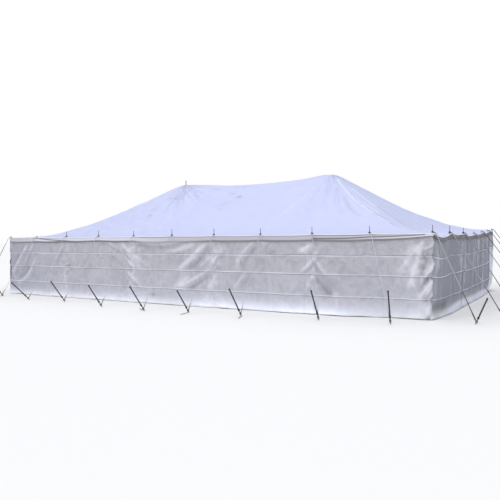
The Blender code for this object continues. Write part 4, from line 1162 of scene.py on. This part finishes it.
# Mild steel forged black: nearly black scale, rough from the hammer, and browner with rust near the ground.
stake, tree, shader, place = new_material("forged steel stake")
low_part = add_node(tree, "Attribute", attribute_name="rust").outputs["Fac"]
scale = add_node(tree, "TexNoise", {"Vector": place["Object"], "Scale": 26.0, "Detail": 8.0, "Roughness": 0.7})
rusty = add_node(tree, "Math", {0: low_part, 1: scale}, operation="MULTIPLY", use_clamp=True)
colour = linear("#211e1c")
for layer, code in ((scale, "#3a332e"), (rusty, "#6a503c")):
    colour = add_node(tree, "Mix", {0: layer, 6: colour, 7: linear(code)}, data_type="RGBA")
rough = add_node(tree, "MapRange", {"Value": scale, "To Min": 0.5, "To Max": 0.9})
hammered = add_node(tree, "Bump", {"Height": scale, "Strength": 0.5, "Distance": 0.002})
feed(shader, {"Base Color": colour, "Metallic": 0.1, "Roughness": rough, "Normal": hammered})

guy_nodes = [f"guy_{side}_{number:02d}" for side, count in zip(side_names, side_counts)
             for number in range(1, count + 1)]
peg_foot, peg_top = [], []
for node in guy_nodes:
    points = node_points(node)
    peg_foot.append(points[points[:, 2] < on_ground].mean(0))
    below = points[points[:, 2] < tallest_peg]
    peg_top.append(below[below[:, 2] > below[:, 2].max() - 0.002].mean(0))
for side in side_names:
    pegs, rust = [], []
    for member in np.flatnonzero(pole_side == side):
        shares, widths = np.array(peg_profile).T
        path = peg_foot[member] + (peg_top[member] - peg_foot[member]) * shares[:, None]
        grid = tube(path, peg_radius * widths, 12)
        pegs.append(grid)
        height = grid[0][..., 2] / peg_top[member][2]
        rust.append(np.clip(1.7 - 6 * height, 0.15, 1.6))
    piece = build(f"pegs_{side}", pegs, stake, rust=rust)
    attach(piece, "root")
    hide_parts(*(node for node in guy_nodes if side in node))


# The guys: 32 taut laid ropes of 15 mm. Each is looped round its spike in three dark, dirty turns on the roof's
# edge, runs out over the bolt rope and straight down, and is hitched round the peg just above the ground.
guy_radius, guy_step, guy_sides, guy_strands = 0.0075, 0.019, 9, 3
over_edge, over_edge_round = 0.03, 0.04
loop_rise = 0.014
hitch_share = 0.075
coil_points = 18


def bent_path(start, corner, end, radius, step):
    """Two straight runs joined at the corner by a quadratic curve that leaves each run at radius from it."""
    first, second = start - corner, end - corner
    before = corner + first / np.linalg.norm(first) * min(radius, np.linalg.norm(first) * 0.9)
    after = corner + second / np.linalg.norm(second) * radius
    turn = np.linspace(0, 1, 8)[:, None]
    curve = before * (1 - turn) ** 2 + corner * 2 * turn * (1 - turn) + after * turn**2
    count = int(np.linalg.norm(end - after) / step)
    straight = after + (end - after) * np.linspace(0, 1, count + 1)[1:, None]
    lead = start + (before - start) * np.linspace(0, 1, 4)[:-1, None]
    return np.concatenate((lead, curve, straight))


def coil(centre, axis, radius, rise, turns, start_angle):
    """Turns of rope round an axis: a helix of that radius that climbs rise metres along it."""
    axis = axis / np.linalg.norm(axis)
    side = np.cross(axis, (1.0, 0.0, 0.0) if abs(axis[0]) < 0.8 else (0.0, 1.0, 0.0))
    side /= np.linalg.norm(side)
    other = np.cross(axis, side)
    angle = start_angle + np.linspace(0, 2 * np.pi * turns, int(turns * coil_points) + 1)[:, None]
    climb = np.linspace(0, rise, len(angle))[:, None]
    return centre + radius * (np.cos(angle) * side + np.sin(angle) * other) + climb * axis


# The spare ends that lie on the ground by four pegs of the front: where each runs from its peg
loose_ends = {5: (-0.33, 0.17), 6: (0.10, -0.47), 7: (0.16, -0.39), 1: (-0.14, -0.19)}
upright = np.array((0.0, 0.0, 1.0))
for side in side_names:
    ropes, soil = [], []
    for member in np.flatnonzero(pole_side == side):
        plan, foot, top = pole_plan[member], peg_foot[member], peg_top[member]
        start = np.array((*plan, edge_height(pole_walk[member]) + loop_rise))
        away = np.array((foot[0] - plan[0], foot[1] - plan[1], 0.0))
        away /= np.linalg.norm(away)
        number, along = on_side(pole_walk[member])
        across = abs(away[:2] @ side_out[number])
        if side_half[number] - abs(along) < bay / 4:
            across = max(abs(away[0]), abs(away[1]))
        inset = pole_inset if member else pole_inset + left_draw
        corner = start + away * (inset / across + over_edge)
        lean = (top - foot) / np.linalg.norm(top - foot)
        hitch = foot + (top - foot) * hitch_share
        path = bent_path(start + away * 0.012, corner, hitch, over_edge_round, guy_step)
        stout = 1.0 if 0 < member < 10 else 1.35
        thick = guy_radius * stout * (1 + 0.5 * ramp(path[:, 2], 0.3, -0.1))
        grid = tube(path, thick, guy_sides, guy_strands, rope_lay, rope_groove)
        ropes.append(grid)

        # A guy is dark where it is looped on and near the ground, and some ropes are darker all along.
        rope_height = grid[0][..., 2]
        dirty_from = 0.26 if side == "front" and member < 10 else 0.8
        faint = member < 2 or 12 < member < 17
        low_down = ramp(rope_height, dirty_from, -0.15)
        from_start = np.linalg.norm(grid[0] - start, axis=-1)
        knotted = (0.25 if faint else 0.75) * np.clip(1 - from_start / 0.12, 0, 1)
        if member == 0:
            whole = 0.85 * ramp(rope_height, 1.8, -0.2)
        elif member < 9:
            whole = 0.12 * ramp(rope_height, 0.5, 0.4)
        elif member in (12, 13):
            whole = 0.45 + 0.4 * ramp(rope_height, 1.1, -0.3)
        else:
            whole = {9: 0.0, 10: 0.28, 11: 0.28}.get(member, 0.85)
        soil.append(np.clip(knotted + 0.85 * low_down + whole, 0, 0.9))

        if side == "front" and member in loose_ends:
            run_out = np.linspace(0, 1, 24)[:, None]
            lying = foot + upright * guy_radius + np.array((*loose_ends[member], 0.0)) * run_out
            lying = lying + np.array((0.0, 0.03, 0.0)) * np.sin(3 * np.pi * run_out) * run_out
            lying[:, 2] += 0.06 * np.clip(1 - run_out[:, 0] / 0.25, 0, 1) ** 2
            grid = tube(lying, guy_radius, guy_sides, guy_strands, rope_lay, rope_groove)
            ropes.append(grid)
            soil.append(np.full(grid[0].shape[:2], 0.7))
        at_top = 0.15 if faint else 0.9
        turns_low = coil(start - upright * 0.006, upright, spike_radius + guy_radius, 0.036, 3, member)
        turns_out = coil(start + upright * 0.004, upright, spike_radius + 2.6 * guy_radius,
                         0.012, 1.2, member + 2)
        round_peg = coil(hitch - lean * 0.012, lean, peg_radius * 0.75 + guy_radius, 0.045, 4, member)
        for turns, dark in ((turns_low, at_top), (turns_out, at_top), (round_peg, 0.7)):
            grid = tube(turns, guy_radius, 8)
            ropes.append(grid)
            soil.append(np.full(grid[0].shape[:2], dark))
    piece = build(f"guy_ropes_{side}", ropes, laid_rope, soil=soil)
    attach(piece, "root")
    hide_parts(*(node for node in guy_nodes if side in node))
